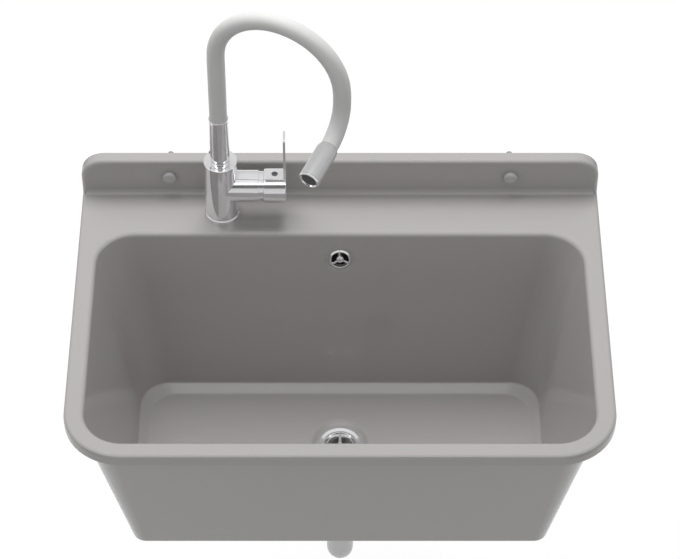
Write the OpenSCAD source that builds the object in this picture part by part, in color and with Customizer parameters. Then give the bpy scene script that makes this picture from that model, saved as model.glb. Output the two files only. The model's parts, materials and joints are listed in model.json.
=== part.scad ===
// Wall-hung utility laundry sink with a single-lever tap and its waste trap, in millimetres.
// X is to the right, Y is towards the wall, Z is up. The origin lies on the wall plane, at
// mid width, level with the two wall fixings. Heights below are measured from the deck
// unless a comment says otherwise.

/* [Basin] */
// Overall width of the basin
basin_w = 750; // [640:1:900]
// Depth of the basin from the wall to the front edge
basin_d = 515; // [460:1:600]
// Depth of the bowl from the deck to the floor
bowl_depth = 276; // [220:1:330]
// Thickness of the moulded walls
wall_t = 4.5; // [3:0.1:6]
// Height of the lip that hangs down round the rim
lip_h = 17; // [12:0.5:30]
// Width of the rim at the sides and at the front
rim_w = 28; // [22:0.5:36]
// Corner radius of the bowl's mouth
mouth_corner_r = 54; // [40:1:70]
// Rounding of the edge from the rim down into the bowl
mouth_edge_r = 8; // [6.5:0.5:10]
// Rounding of the outer edges
edge_r = 5.5; // [5:0.1:8]
// How far the bowl's walls lean in over the bowl's depth
bowl_draft = 50; // [35:1:60]
// Corner radius of the floor
floor_corner_r = 46; // [36:1:56]
// Height of the slope between the walls and the floor
floor_slope_h = 14; // [8:0.5:20]
// Width of the slope between the walls and the floor
floor_slope_w = 11; // [6:0.5:16]
// Corner radius of the bowl's outside at its top
shell_top_r = 44; // [32:1:56]
// Corner radius of the bowl's outside at its foot
shell_foot_r = 20; // [14:1:36]

/* [Upstand] */
// Height of the upstand above the deck
upstand_h = 63; // [54:1:80]
// Thickness of the upstand from the wall to its face
upstand_t = 18; // [15:0.5:24]
// Radius of the upstand's upper corners
upstand_corner_r = 44; // [30:1:50]
// Depth of the deck between the upstand and the bowl
deck_d = 85; // [76:1:110]
// Radius of the cove between the upstand and the deck
cove_r = 8; // [4:0.5:11]

/* [Wall fixings] */
// Distance between the two wall fixings
fixing_spacing = 494; // [420:1:540]
// Height of the fixings above the deck
fixing_h = 33; // [28:0.5:38]
// Diameter of the wall screws
wall_screw_d = 8; // [6:0.5:10]
// Length of the wall screws beyond the wall plane
wall_screw_out = 30; // [20:1:70]
// Outer diameter of the screw caps
screw_cap_d = 20; // [19:0.5:24]
// Height of the screw caps
screw_cap_h = 8.5; // [7.5:0.5:12]

/* [Overflow] */
// Depth of the overflow's centre below the deck
overflow_down = 45; // [38:1:60]
// Diameter of the overflow rosette
rosette_d = 32; // [30:0.5:38]
// Diameter of the overflow hole in the basin
overflow_hole_d = 26; // [24:0.5:27]
// Depth of the dish round the overflow
overflow_dish = 2; // [1:0.25:3]
// Thickness of the overflow gasket
overflow_gasket_t = 3; // [2:0.25:4]
// Outer diameter of the overflow pipe
overflow_pipe_d = 23; // [22:0.25:24]
// Bend radius of the overflow pipe
overflow_bend_r = 42; // [34:1:48]

/* [Drain] */
// Distance of the drain from the wall
drain_back = 262; // [235:1:300]
// Diameter of the drain's chrome flange
flange_d = 66; // [62:0.5:70]
// Thickness of the drain's chrome flange
flange_t = 2.5; // [2:0.1:3.5]
// Diameter of the basket in the drain
basket_d = 46; // [42:0.5:48]
// Depth of the basket below the flange
basket_depth = 4; // [3.5:0.5:7]
// Depth of the dish round the drain
drain_dish = 6; // [4:0.5:9]
// Diameter of the dish round the drain
drain_dish_d = 82; // [78:1:96]
// Diameter of the drain hole in the floor
drain_hole_d = 52; // [50:0.5:54]
// Thickness of the drain gasket
drain_gasket_t = 3; // [2:0.25:4]
// Diameter of the drain's centre screw
drain_screw_d = 5; // [4:0.5:6]
// Diameter of the plug
plug_d = 50; // [48:0.5:54]

/* [Trap] */
// Outer diameter of the waste pipes
pipe_d = 40; // [38:0.5:42]
// Wall thickness of the waste pipes
pipe_t = 2; // [1.5:0.1:2.5]
// Height of the waste body
waste_h = 62; // [58:1:75]
// Length of the tailpipe
tail_l = 134; // [120:1:170]
// Outer diameter of the trap's union nuts
nut_d = 54; // [53:0.5:58]
// Height of the trap's union nuts
nut_h = 24; // [22:0.5:28]
// Distance between the two legs of the trap
trap_pitch = 66; // [62:0.5:80]
// Height of the trap's inlet leg above the centre of its bend
trap_leg_h = 55; // [52:1:75]
// How much lower the trap's outlet leg ends than its inlet leg
trap_step = 27; // [20:0.5:28]
// Bend radius of the outlet pipe
outlet_bend_r = 40; // [34:1:48]
// Length of the outlet pipe beyond the wall plane
outlet_out = 35; // [20:1:60]
// Diameter of the wall rosette
wall_rosette_d = 74; // [68:1:90]
// Outer diameter of the appliance branch
branch_d = 20; // [18:0.5:22]
// Length of the appliance branch from the tailpipe's axis
branch_l = 70; // [62:1:85]

/* [Tap body] */
// Distance of the tap to the left of mid width
tap_left = 170; // [140:1:185]
// Distance of the tap from the wall
tap_back = 60; // [56:0.5:64]
// Diameter of the tap hole in the deck
tap_hole_d = 35; // [34:0.5:36]
// Diameter of the tap body
tap_d = 48; // [46:0.5:50]
// Height of the tap body
tap_h = 107; // [100:1:120]
// Diameter of the base ring
base_ring_d = 50.5; // [50.5:0.5:54]
// Height of the base ring
base_ring_h = 7; // [5:0.5:9]
// Diameter of the mounting stud
stud_d = 8; // [6:0.5:8]
// Height of the cartridge arm's axis above the deck
arm_h = 56; // [50:1:62]
// Diameter of the cartridge arm
arm_d = 46; // [44:0.5:46.5]
// Reach of the cartridge arm from the tap's axis
arm_l = 54; // [52:0.5:62]

/* [Handle] */
// Diameter of the cartridge
cartridge_d = 35; // [33:0.5:36]
// Radius of the dome that the hub swings over
dome_r = 21.5; // [20.5:0.25:22]
// Gap between the arm and the hub
hub_gap = 7; // [7:0.25:9]
// Diameter of the handle hub
hub_d = 49; // [48:0.5:52]
// Length of the handle hub
hub_l = 32; // [30:0.5:38]
// Height of the lever's tip above the arm's axis
lever_h = 100; // [80:1:115]
// Width of the lever plate
lever_w = 23; // [18:0.5:26]
// Thickness of the lever plate
lever_t = 3.5; // [3:0.1:4.5]

/* [Spout] */
// Diameter of the spout sleeve
sleeve_d = 28; // [27.5:0.5:32]
// Height of the spout sleeve
sleeve_h = 78; // [60:1:90]
// Diameter of the silicone hose
hose_d = 25; // [23:0.25:25.5]
// Wall thickness of the silicone hose
hose_t = 3.5; // [2:0.25:4.5]
// Height above the deck at which the hose starts to arch
arch_start_h = 308; // [280:1:330]
// Radius of the arch's rising quarter
arch_up_r = 86; // [70:1:100]
// Radius of the arch's falling quarter
arch_down_r = 98; // [80:1:110]
// Turn of the arch towards the front, in degrees
arch_turn = 20; // [10:1:40]
// Straight drop after the arch
arch_drop = 18; // [5:1:30]
// Radius of the curl at the spout's end
curl_r = 50; // [40:1:60]
// Angle of the curl at the spout's end, in degrees
curl_angle = 80; // [50:1:90]
// Direction of the curl from the arch's plane, in degrees
curl_turn = 97; // [75:1:120]
// Diameter of the spout head
head_d = 30; // [29.5:0.5:33]
// Length of the spout head
head_l = 60; // [50:1:75]

/* [Clearances] */
// Radial clearance of a running fit
run_fit = 0.05; // [0.02:0.01:0.1]
// Radial clearance of parts that are only put together
put_fit = 0.15; // [0.1:0.01:0.25]

/* [Hidden] */
$fn = 48;

// A cut reaches this far past the face that it opens
over = 0.5;
// Where a straight pipe starts inside a bend, how far it reaches in and how much its walls step
seam_l = 1;
seam = 0.15;

// Basin
open_w = basin_w - 2 * rim_w;
open_back = -upstand_t - deck_d;
open_front = -basin_d + rim_w;
front_corner_r = mouth_corner_r + rim_w;
slope_z = -bowl_depth + floor_slope_h;
draft_a = atan(bowl_draft / (-mouth_edge_r - slope_z));
boss_r = wall_screw_d / 2 + 5;
boss_bore_r = boss_r - 2.5;
boss_bore_l = upstand_t - wall_t - 2;
wall_shank_r = wall_screw_d / 2 - 0.3;
wall_stud_in = boss_bore_l - 7.5;
plate_h = 0.5;

// Wall fixings
washer_r = screw_cap_d / 2 - 1 - put_fit;
washer_t = 1.6;
screw_head_h = 4;

// Overflow, whose frame has +Z out of the wall into the bowl and +Y up along the wall
overflow_y = open_back - (overflow_down - mouth_edge_r) * tan(draft_a);
overflow_hole_r = overflow_hole_d / 2;
overflow_back = wall_t + overflow_dish;
overflow_head_z = -overflow_back - overflow_gasket_t;
overflow_cup_r = overflow_hole_r + 2;
overflow_cup_d = overflow_pipe_d + 5;
overflow_axis = -overflow_head_z + overflow_cup_d / 2;
overflow_pipe_r = overflow_pipe_d / 2;
overflow_pipe_t = 1.5;
overflow_spigot_l = 20;
overflow_screw_r = 2.5;
rosette_t = 3;

// Drain, whose frame lies on the seat of the chrome flange
seat_z = -bowl_depth - drain_dish;
foot_z = seat_z - wall_t;
shell_inset = (-foot_z - mouth_edge_r) * tan(draft_a) - wall_t;
waste_z = -wall_t - drain_gasket_t;
basket_r = basket_d / 2;
strainer_t = 2;
waste_cup_r = drain_hole_d / 2;
waste_cup_h = 34;
waste_t = 3;
inlet_h = 20;
inlet_bore_r = overflow_pipe_r + 0.7;
inlet_r = inlet_bore_r + 3.8;
inlet_mouth = waste_cup_r + 26;
overflow_nut_l = 18;
seal_t = 4;
plug_x = 62;
plug_front = 148;
plug_h = 9;
plug_ring_r = 13;
plug_wire_r = 0.9;
plug_eye_h = 3.5;
plug_ring_tilt = asin((plug_eye_h - plug_wire_r - 0.3) / (2 * plug_ring_r));

// Path of the overflow pipe, in the deck's frame
pipe_top_off = overflow_cup_r + 1;
pipe_top = [0,
    overflow_y + overflow_axis * cos(draft_a) - pipe_top_off * sin(draft_a),
    -overflow_down - overflow_axis * sin(draft_a) - pipe_top_off * cos(draft_a)];
inlet_z = seat_z + waste_z - inlet_h;
pipe_bend_z = inlet_z + overflow_bend_r * (1 - sin(draft_a));
pipe_run = (pipe_top[2] - pipe_bend_z) / cos(draft_a);
pipe_bend = [0,
    pipe_top[1] - pipe_run * sin(draft_a) - overflow_bend_r * cos(draft_a),
    inlet_z + overflow_bend_r];
pipe_end_run = pipe_bend[1] + drain_back - waste_cup_r - 6;

// Trap, in the drain's frame
pipe_r = pipe_d / 2;
pipe_in_r = pipe_r - pipe_t;
thread_r = pipe_r + 3.5;
nut_r = nut_d / 2;
nut_lip = 3;
waste_end_z = waste_z - waste_h;
waste_seal_t = 2.5;
collar_h = 3;
tail_top_z = waste_end_z - waste_seal_t;
tail_end_z = tail_top_z - tail_l;
tail_insert = 30;
leg_top_z = tail_end_z + tail_insert;
socket_depth = 33;
outlet_insert = 23;
trap_seal_h = 5;
bend_z = leg_top_z - trap_leg_h;
out_leg_z = leg_top_z - trap_step;
outlet_foot_z = out_leg_z - outlet_insert;
outlet_z = out_leg_z + trap_seal_h + nut_lip + 8 + outlet_bend_r;
outlet_end_r = pipe_r - 0.2;
outlet_end_from = 2;
wall_rosette_t = 14;
wall_lobe_r = 16;
branch_r = branch_d / 2;
branch_in_r = branch_r - 2;
branch_down = 52;
cap_t = 2;
cap_depth = 10;
strap_ring_w = 3;
strap_r = 12;

// Tap, whose frame lies on the deck under the tap's axis
tap_r = tap_d / 2;
foot_r = tap_r - 3;
seal_h = 1;
neck_r = sleeve_d / 2;
neck_h = 4;
neck_top = tap_h + neck_h;
spigot_r = 11;
spigot_l = 28;
port_r = 4.6;
port_y = 9;
port_depth = 14;
channel_r = 3.5;
stud_x = -11.5;
stud_r = stud_d / 2;
stud_in = 14;
clamp_r = tap_hole_d / 2 + 4.5;
clamp_washer_t = 3;
clamp_plate_t = 2;
tap_nut_h = 14;
stud_out = wall_t + clamp_washer_t + clamp_plate_t + tap_nut_h + 18;

// Cartridge and handle, whose frame has +Z along the arm and -X up
cartridge_r = cartridge_d / 2;
cartridge_back = arm_l - 30;
cartridge_front = arm_l - 4;
carrier_r = 12;
carrier_z = cartridge_back + 12;
ring_bore_r = 14;
ring_flange_t = 3;
pivot_z = arm_l + ring_flange_t;
pin_r = 1.5;
ear_t = 3.6;
stem_w = 8;
stem_gap = 0.3;
hub_z = arm_l + hub_gap;
hub_end = hub_z + hub_l;
hub_r = hub_d / 2;
hub_cavity_r = dome_r + 0.5;
flat_x = hub_r - 4;
relief_x = 13;
relief_l = 5.5;
lever_foot_z = hub_z + 3;
lever_screw_z = (lever_foot_z + hub_end - lever_t) / 2;
lever_screw_r = 2.5;
lever_head_r = 4.3;
lever_head_h = 2;
lever_corner_r = 4;

// Spout
sleeve_z = neck_top + 1;
hose_r = hose_d / 2;
hose_in_r = hose_r - hose_t;
sleeve_in_r = hose_r + put_fit;
spigot_head_h = 20;
hose_start = sleeve_z + 36;
core_start = sleeve_z + spigot_head_h;
core_r = hose_in_r - put_fit;
core_in_r = core_r - 3;
set_screw_h = 11;
set_screw_r = 2;
arch_top = arch_start_h + arch_up_r;
drop_z = arch_top - arch_down_r;
head_r = head_d / 2;
head_insert = 12;
aerator_r = head_r - 2.5;
aerator_depth = 12;
aerator_ring_h = 3;

module at_deck() {
    translate([0, 0, -fixing_h]) children();
}

module at_overflow() {
    at_deck()
        translate([0, overflow_y, -overflow_down])
            rotate([90 - draft_a, 0, 0]) children();
}

module at_drain() {
    at_deck() translate([0, -drain_back, seat_z]) children();
}

module at_tap() {
    at_deck() translate([-tap_left, -tap_back, 0]) children();
}

module at_cartridge() {
    at_tap() translate([0, 0, arm_h]) rotate([0, 90, 0]) children();
}

module at_branch() {
    at_drain() translate([0, 0, tail_top_z - branch_down]) rotate([0, 45, 0]) children();
}

// The arch's plane, turned towards the front
module at_arch() {
    at_tap() rotate([0, 0, -arch_turn]) children();
}

// The start of the curl, with +X the way that the spout curls
module at_curl() {
    at_arch()
        translate([arch_up_r + arch_down_r, 0, drop_z - arch_drop])
            rotate([0, 0, -curl_turn]) children();
}

// The end of the curl, with +Z along the spout
module at_head() {
    at_curl()
        translate([curl_r * (1 - cos(curl_angle)), 0, -curl_r * sin(curl_angle)])
            rotate([0, 180 - curl_angle, 0]) children();
}

module tube(outer, inner, h) {
    difference() {
        cylinder(r = outer, h = h);
        translate([0, 0, -over]) cylinder(r = inner, h = h + 2 * over);
    }
}

module ring_profile(outer, inner) {
    difference() {
        circle(r = outer);
        circle(r = inner);
    }
}

// Part of a circular bend in the XY plane, from angle "from" over "turn" degrees
module bend(radius, from, turn, outer, inner) {
    rotate([0, 0, from])
        rotate_extrude(angle = turn) translate([radius, 0]) ring_profile(outer, inner);
}

module rod_bend(radius, from, turn, r) {
    rotate([0, 0, from]) rotate_extrude(angle = turn) translate([radius, 0]) circle(r = r);
}

// Rectangle from y = 0 to y = -d with round corners at its far side, drawn in by inset
module u_outline(w, d, r, inset) {
    translate([-w / 2 + inset, -d + r]) square([w - 2 * inset, d - r]);
    translate([-w / 2 + r, -d + inset]) square([w - 2 * r, r]);
    for (side = [-1, 1]) {
        translate([side * (w / 2 - r), -d + r]) circle(r = r - inset);
    }
}

// Carries an edge's profile round the three open sides of u_outline. The profile's x is the
// distance inwards from the edge and its y is the height.
module along_u(w, d, r) {
    translate([-w / 2, 0, 0]) rotate([90, 0, 0]) linear_extrude(d - r) children();
    translate([w / 2, -d + r, 0])
        rotate([0, 0, 180]) rotate([90, 0, 0]) linear_extrude(d - r) children();
    translate([-w / 2 + r, -d, 0]) rotate([90, 0, 90]) linear_extrude(w - 2 * r) children();
    for (corner = [[1, 270], [-1, 180]]) {
        translate([corner[0] * (w / 2 - r), -d + r, 0])
            rotate([0, 0, corner[1]])
                rotate_extrude(angle = 90) translate([r, 0]) mirror([1, 0]) children();
    }
}

// Quarter round from the top face down into a wall of the moulding's thickness
module edge_profile(r, t) {
    intersection() {
        translate([r, -r]) ring_profile(r, r - t);
        translate([0, -r]) square([r, r]);
    }
}

module lip_profile() {
    edge_profile(edge_r, wall_t);
    translate([0, -lip_h]) square([wall_t, lip_h - edge_r]);
}

module upstand_profile() {
    mirror([0, 1]) translate([0, upstand_t]) edge_profile(edge_r, wall_t);
    translate([0, -upstand_t + edge_r]) square([wall_t, upstand_t - edge_r]);
}

module mouth_outline(grow) {
    w = open_w + 2 * grow;
    d = open_back - open_front + 2 * grow;
    r = mouth_corner_r + grow;
    translate([-w / 2 + r, open_front - grow]) square([w - 2 * r, d]);
    translate([-w / 2, open_front - grow + r]) square([w, d - 2 * r]);
    for (x = [-w / 2 + r, w / 2 - r]) {
        for (y = [open_front - grow + r, open_back + grow - r]) {
            translate([x, y]) circle(r = r);
        }
    }
}

// The rounded edge between the deck and the bowl, all round the mouth
module mouth_edge() {
    r = mouth_corner_r;
    mid_y = (open_back + open_front) / 2;
    half = [open_w / 2, (open_back - open_front) / 2];
    for (side = [0, 1]) {
        translate([0, mid_y, 0]) rotate([0, 0, 180 * side]) {
            translate([half[0], half[1] - r, 0])
                rotate([90, 0, 0])
                    linear_extrude(2 * (half[1] - r)) edge_profile(mouth_edge_r, wall_t);
            translate([half[0] - r, half[1], 0])
                rotate([90, 0, 270]) mirror([1, 0, 0])
                    linear_extrude(2 * (half[0] - r))
                        mirror([1, 0, 0]) rotate([0, 0, 0]) mirror([1, 0, 0])
                            edge_profile(mouth_edge_r, wall_t);
            for (corner = [[1, 0], [-1, 90]]) {
                translate([corner[0] * (half[0] - r), half[1] - r, 0])
                    rotate([0, 0, corner[1]])
                        rotate_extrude(angle = 90)
                            translate([r, 0]) edge_profile(mouth_edge_r, wall_t);
            }
        }
    }
}

// One level of the bowl: its outline drawn in from the mouth by inset
module bowl_level(inset, corner_r, z) {
    for (x = [-1, 1]) {
        for (y = [open_front + inset + corner_r, open_back - inset - corner_r]) {
            translate([x * (open_w / 2 - inset - corner_r), y, z])
                cylinder(r = corner_r, h = plate_h, $fn = 40);
        }
    }
}

// The bowl's space, or its outside when grown by the wall
module bowl_form(grow, drop) {
    hull() {
        bowl_level(-grow, mouth_corner_r + grow, -mouth_edge_r - plate_h);
        bowl_level(bowl_draft - grow, floor_corner_r + grow, slope_z);
    }
    hull() {
        bowl_level(bowl_draft - grow, floor_corner_r + grow, slope_z);
        bowl_level(bowl_draft + floor_slope_w - 0.6 * grow, floor_corner_r - floor_slope_w / 2,
            -bowl_depth - drop);
    }
}

// The outside of the bowl, straight down to its foot and with smaller corners than the inside
module shell_form() {
    hull() {
        bowl_level(-wall_t, shell_top_r, -mouth_edge_r - plate_h);
        bowl_level(shell_inset, shell_foot_r, foot_z);
    }
}

// The hollow under the floor, inside the foot
module foot_hollow() {
    hull() {
        bowl_level(shell_inset + wall_t + 1, shell_foot_r, foot_z - over);
        bowl_level(shell_inset + wall_t + 2, shell_foot_r, -bowl_depth - wall_t - plate_h);
    }
}

module basin() {
    color([0.60, 0.59, 0.58]) at_deck() difference() {
        union() {
            // deck and rim
            translate([0, 0, -wall_t]) linear_extrude(wall_t) difference() {
                u_outline(basin_w, basin_d, front_corner_r, edge_r);
                mouth_outline(mouth_edge_r);
            }
            along_u(basin_w, basin_d, front_corner_r) lip_profile();
            mouth_edge();
            // upstand
            rotate([-90, 0, 0]) {
                along_u(basin_w, upstand_h, upstand_corner_r) upstand_profile();
                translate([0, 0, -upstand_t]) linear_extrude(wall_t)
                    u_outline(basin_w, upstand_h, upstand_corner_r, edge_r);
            }
            // cove at the foot of the upstand
            translate([-basin_w / 2 + edge_r, -upstand_t, 0])
                rotate([90, 0, 90]) linear_extrude(basin_w - 2 * edge_r) difference() {
                    translate([-cove_r, -1]) square([cove_r + 1, cove_r + 1]);
                    translate([-cove_r, cove_r]) circle(r = cove_r);
                }
            // bosses round the wall screws
            for (side = [-1, 1]) {
                translate([side * fixing_spacing / 2, 0, fixing_h])
                    rotate([90, 0, 0]) cylinder(r = boss_r, h = upstand_t - wall_t + over);
            }
            // bowl
            difference() {
                shell_form();
                bowl_form(0, 0);
                foot_hollow();
                translate([0, 0, -mouth_edge_r - 0.1]) linear_extrude(1) mouth_outline(-0.05);
            }
            // the shell's corners, up to the deck
            difference() {
                hull() {
                    bowl_level(-wall_t, shell_top_r, -mouth_edge_r - plate_h);
                    bowl_level(-wall_t - 0.3, shell_top_r, -wall_t / 2 - plate_h);
                }
                translate([0, 0, -mouth_edge_r - 2 * plate_h]) linear_extrude(mouth_edge_r)
                    mouth_outline(wall_t - 0.5);
            }
            // pads behind the overflow and under the drain
            translate([0, overflow_y, -overflow_down]) rotate([90 - draft_a, 0, 0])
                translate([0, 0, -overflow_back])
                    cylinder(r = rosette_d / 2 + 8, h = overflow_back - over);
            translate([0, -drain_back, seat_z - wall_t])
                cylinder(r = drain_dish_d / 2 + 4, h = drain_dish + wall_t - over);
        }
        for (side = [-1, 1]) {
            translate([side * fixing_spacing / 2, over, fixing_h])
                rotate([90, 0, 0])
                    cylinder(r = wall_screw_d / 2 + 0.3, h = upstand_t + 2 * over);
            translate([side * fixing_spacing / 2, over, fixing_h])
                rotate([90, 0, 0]) cylinder(r = boss_bore_r, h = boss_bore_l + over);
        }
        translate([-tap_left, -tap_back, -wall_t - over])
            cylinder(r = tap_hole_d / 2, h = wall_t + 2 * over);
        translate([0, overflow_y, -overflow_down]) rotate([90 - draft_a, 0, 0]) {
            translate([0, 0, -overflow_back - over])
                cylinder(r = overflow_hole_r, h = overflow_back + 2 * over);
            translate([0, 0, -overflow_dish])
                cylinder(r1 = rosette_d / 2 + 1.5, r2 = rosette_d / 2 + 7, h = overflow_dish * 2);
        }
        translate([0, -drain_back, seat_z]) {
            cylinder(r1 = flange_d / 2 + 1.5, r2 = drain_dish_d / 2 + 1, h = drain_dish + over);
            translate([0, 0, -wall_t - over])
                cylinder(r = drain_hole_d / 2, h = wall_t + 2 * over);
        }
    }
}

// Places a piece at both wall fixings, with +Z out of the upstand towards the user
module at_fixings() {
    for (side = [-1, 1]) {
        translate([side * fixing_spacing / 2, -upstand_t, 0]) rotate([90, 0, 0]) children();
    }
}

module wall_screws() {
    color([0.72, 0.72, 0.70]) at_fixings() {
        // the thicker end goes into the wall, the thinner shank through the basin
        translate([0, 0, -upstand_t - wall_screw_out])
            cylinder(r = wall_screw_d / 2, h = wall_screw_out + wall_stud_in);
        translate([0, 0, -upstand_t + wall_stud_in])
            cylinder(r = wall_shank_r, h = upstand_t - wall_stud_in + washer_t + 1);
        translate([0, 0, washer_t]) difference() {
            cylinder(r = wall_screw_d / 2 + 3, h = screw_head_h, $fn = 6);
            translate([0, 0, screw_head_h - 1.5]) cylinder(r = 2, h = 2);
        }
    }
}

module wall_washers() {
    color([0.75, 0.75, 0.73]) at_fixings() {
        tube(washer_r, wall_screw_d / 2 + 0.3, washer_t);
    }
}

module screw_caps() {
    color([0.80, 0.80, 0.80]) at_fixings() difference() {
        intersection() {
            cylinder(r = screw_cap_d / 2, h = screw_cap_h);
            translate([0, 0, screw_cap_h - screw_cap_d]) sphere(r = screw_cap_d);
        }
        translate([0, 0, -over])
            cylinder(r = screw_cap_d / 2 - 1, h = washer_t + screw_head_h + over + 0.6);
    }
}

module overflow_rosette() {
    ring_in = rosette_d / 2 - 3.5;
    color([0.80, 0.80, 0.82]) at_overflow() translate([0, 0, -overflow_dish]) difference() {
        union() {
            rotate_extrude() polygon([
                [ring_in, 0], [rosette_d / 2, 0], [rosette_d / 2, 1],
                [rosette_d / 2 - 1.5, rosette_t], [ring_in, rosette_t]]);
            cylinder(r = 5, h = rosette_t - 0.5);
            for (spoke = [90, 210, 330]) {
                rotate([0, 0, spoke])
                    translate([2, -1.5, 0.3]) cube([ring_in, 3, rosette_t - 1]);
            }
        }
        translate([0, 0, -over])
            cylinder(r = overflow_screw_r + put_fit, h = rosette_t + 2 * over);
    }
}

module overflow_screw() {
    color([0.78, 0.78, 0.80]) at_overflow() translate([0, 0, rosette_t - overflow_dish - 0.5]) {
        difference() {
            cylinder(r = 4.2, h = 1.8);
            translate([-3, -0.5, 0.8]) cube([6, 1, 2]);
            translate([-0.5, -3, 0.8]) cube([1, 6, 2]);
        }
        translate([0, 0, -26]) cylinder(r = overflow_screw_r, h = 26.5);
    }
}

module overflow_gasket() {
    color([0.10, 0.10, 0.10]) at_overflow() translate([0, 0, overflow_head_z])
        tube(overflow_hole_r + 6, overflow_hole_r, overflow_gasket_t);
}

module overflow_head() {
    screw_reach = 26 - rosette_t + 0.5;
    color([0.25, 0.25, 0.26]) at_overflow() translate([0, 0, overflow_head_z]) difference() {
        union() {
            translate([0, 0, -3]) cylinder(r = overflow_hole_r + 6, h = 3);
            translate([0, 0, -overflow_cup_d]) cylinder(r = overflow_cup_r, h = overflow_cup_d);
            translate([0, 0, -overflow_cup_d / 2]) rotate([90, 0, 0]) {
                cylinder(r = overflow_pipe_r, h = overflow_cup_r + 1);
                cylinder(r = overflow_pipe_r - overflow_pipe_t - put_fit,
                    h = overflow_cup_r + 1 + overflow_spigot_l);
            }
        }
        difference() {
            translate([0, 0, -overflow_cup_d + 2.5])
                cylinder(r = overflow_cup_r - 2, h = overflow_cup_d);
            translate([0, 0, -overflow_cup_d]) cylinder(r = 4.5, h = overflow_cup_d - 4);
        }
        translate([0, 0, -overflow_cup_d / 2]) rotate([90, 0, 0])
            translate([0, 0, overflow_cup_r / 2])
                cylinder(r = overflow_pipe_r - 3.5, h = overflow_cup_r + overflow_spigot_l + 2);
        translate([0, 0, -overflow_cup_d + 3])
            cylinder(r = overflow_screw_r + put_fit, h = overflow_cup_d);
    }
}

// The sloping run and the bend of the overflow pipe, as a solid rod
module overflow_rod(r) {
    translate(pipe_bend) rotate([90, 0, 90]) rotate([0, 0, -draft_a]) {
        mirror([0, 1, 0]) rod_bend(overflow_bend_r, 0, 90 - draft_a, r);
        translate([overflow_bend_r, 0, 0]) rotate([-90, 0, 0]) cylinder(r = r, h = pipe_run);
    }
}

module overflow_pipe() {
    outer = overflow_pipe_r;
    inner = overflow_pipe_r - overflow_pipe_t;
    color([0.93, 0.93, 0.92]) at_deck() {
        difference() {
            overflow_rod(outer);
            overflow_rod(inner);
        }
        translate([0, pipe_bend[1] + seam_l, inlet_z]) rotate([90, 0, 0])
            tube(outer - seam, inner + seam, pipe_end_run + seam_l);
    }
}

// The side inlet's mouth, with +Z out of the inlet
module at_inlet_mouth() {
    at_drain() translate([0, inlet_mouth, waste_z - inlet_h]) rotate([-90, 0, 0]) children();
}

module overflow_seal() {
    color([0.55, 0.56, 0.57]) at_inlet_mouth()
        tube(inlet_r - 0.4, overflow_pipe_r + put_fit, seal_t);
}

module overflow_nut() {
    color([0.93, 0.93, 0.92]) at_inlet_mouth() difference() {
        union() {
            translate([0, 0, seal_t + nut_lip - overflow_nut_l])
                cylinder(r = inlet_r + 3, h = overflow_nut_l);
            for (rib = [0 : 30 : 330]) {
                rotate([0, 0, rib]) translate([inlet_r + 2.6, 0, seal_t + nut_lip - overflow_nut_l])
                    cylinder(r = 0.9, h = overflow_nut_l - 3);
            }
        }
        translate([0, 0, seal_t - overflow_nut_l])
            cylinder(r = inlet_r + put_fit, h = overflow_nut_l);
        cylinder(r = overflow_pipe_r + put_fit, h = overflow_nut_l);
    }
}

module drain_strainer() {
    color([0.80, 0.80, 0.82]) at_drain() difference() {
        union() {
            rotate_extrude() polygon([
                [0, 0], [flange_d / 2 - 0.4, 0], [flange_d / 2, 0.5],
                [flange_d / 2 - 1, flange_t], [flange_d / 2 - 3, flange_t],
                [basket_r - 0.5, 0.8], [0, 0.8]]);
            translate([0, 0, -basket_depth]) cylinder(r = basket_r, h = basket_depth + 0.5);
        }
        translate([0, 0, -basket_depth + strainer_t])
            cylinder(r1 = basket_r - 2.5, r2 = basket_r - 1, h = basket_depth + 2);
        difference() {
            translate([0, 0, -basket_depth - over])
                cylinder(r = basket_r - 4, h = strainer_t + 2 * over);
            for (bar = [0, 90]) {
                rotate([0, 0, bar]) translate([-basket_r, -2, -basket_depth - 1])
                    cube([2 * basket_r, 4, strainer_t + 2]);
            }
            translate([0, 0, -basket_depth - 1]) cylinder(r = 6, h = strainer_t + 2);
        }
        translate([0, 0, -basket_depth - over])
            cylinder(r = drain_screw_d / 2 + put_fit, h = strainer_t + 2 * over);
    }
}

module drain_gasket() {
    color([0.10, 0.10, 0.10]) at_drain() translate([0, 0, waste_z])
        tube(flange_d / 2 + 2, drain_hole_d / 2 + 0.5, drain_gasket_t);
}

module drain_screw() {
    color([0.75, 0.75, 0.77]) at_drain() translate([0, 0, -basket_depth + strainer_t]) {
        difference() {
            cylinder(r1 = 5, r2 = 4, h = 2.2);
            translate([-4, -0.6, 1.2]) cube([8, 1.2, 2]);
        }
        translate([0, 0, -strainer_t - 22]) cylinder(r = drain_screw_d / 2, h = strainer_t + 22.5);
    }
}

// The plug lies on the floor, in front of the drain
module at_plug() {
    at_deck() translate([plug_x, plug_front - basin_d, -bowl_depth]) children();
}

module plug_body() {
    color([0.08, 0.08, 0.09]) at_plug() difference() {
        union() {
            rotate_extrude() polygon([
                [0, 0], [plug_d / 2 - 3.5, 0], [plug_d / 2 - 1.5, plug_h - 3.5],
                [plug_d / 2, plug_h - 3], [plug_d / 2, plug_h - 1],
                [plug_d / 2 - 1, plug_h], [0, plug_h]]);
            // lug with the ring's eye
            translate([0, 1, plug_h + plug_eye_h]) rotate([90, 0, 0]) cylinder(r = 3.2, h = 2);
            translate([-3, -1, plug_h - 1]) cube([6, 2, plug_eye_h + 1]);
        }
        translate([0, 6, plug_h + plug_eye_h]) rotate([90, 0, 0])
            cylinder(r = plug_wire_r + 0.1, h = 12);
    }
}

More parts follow.
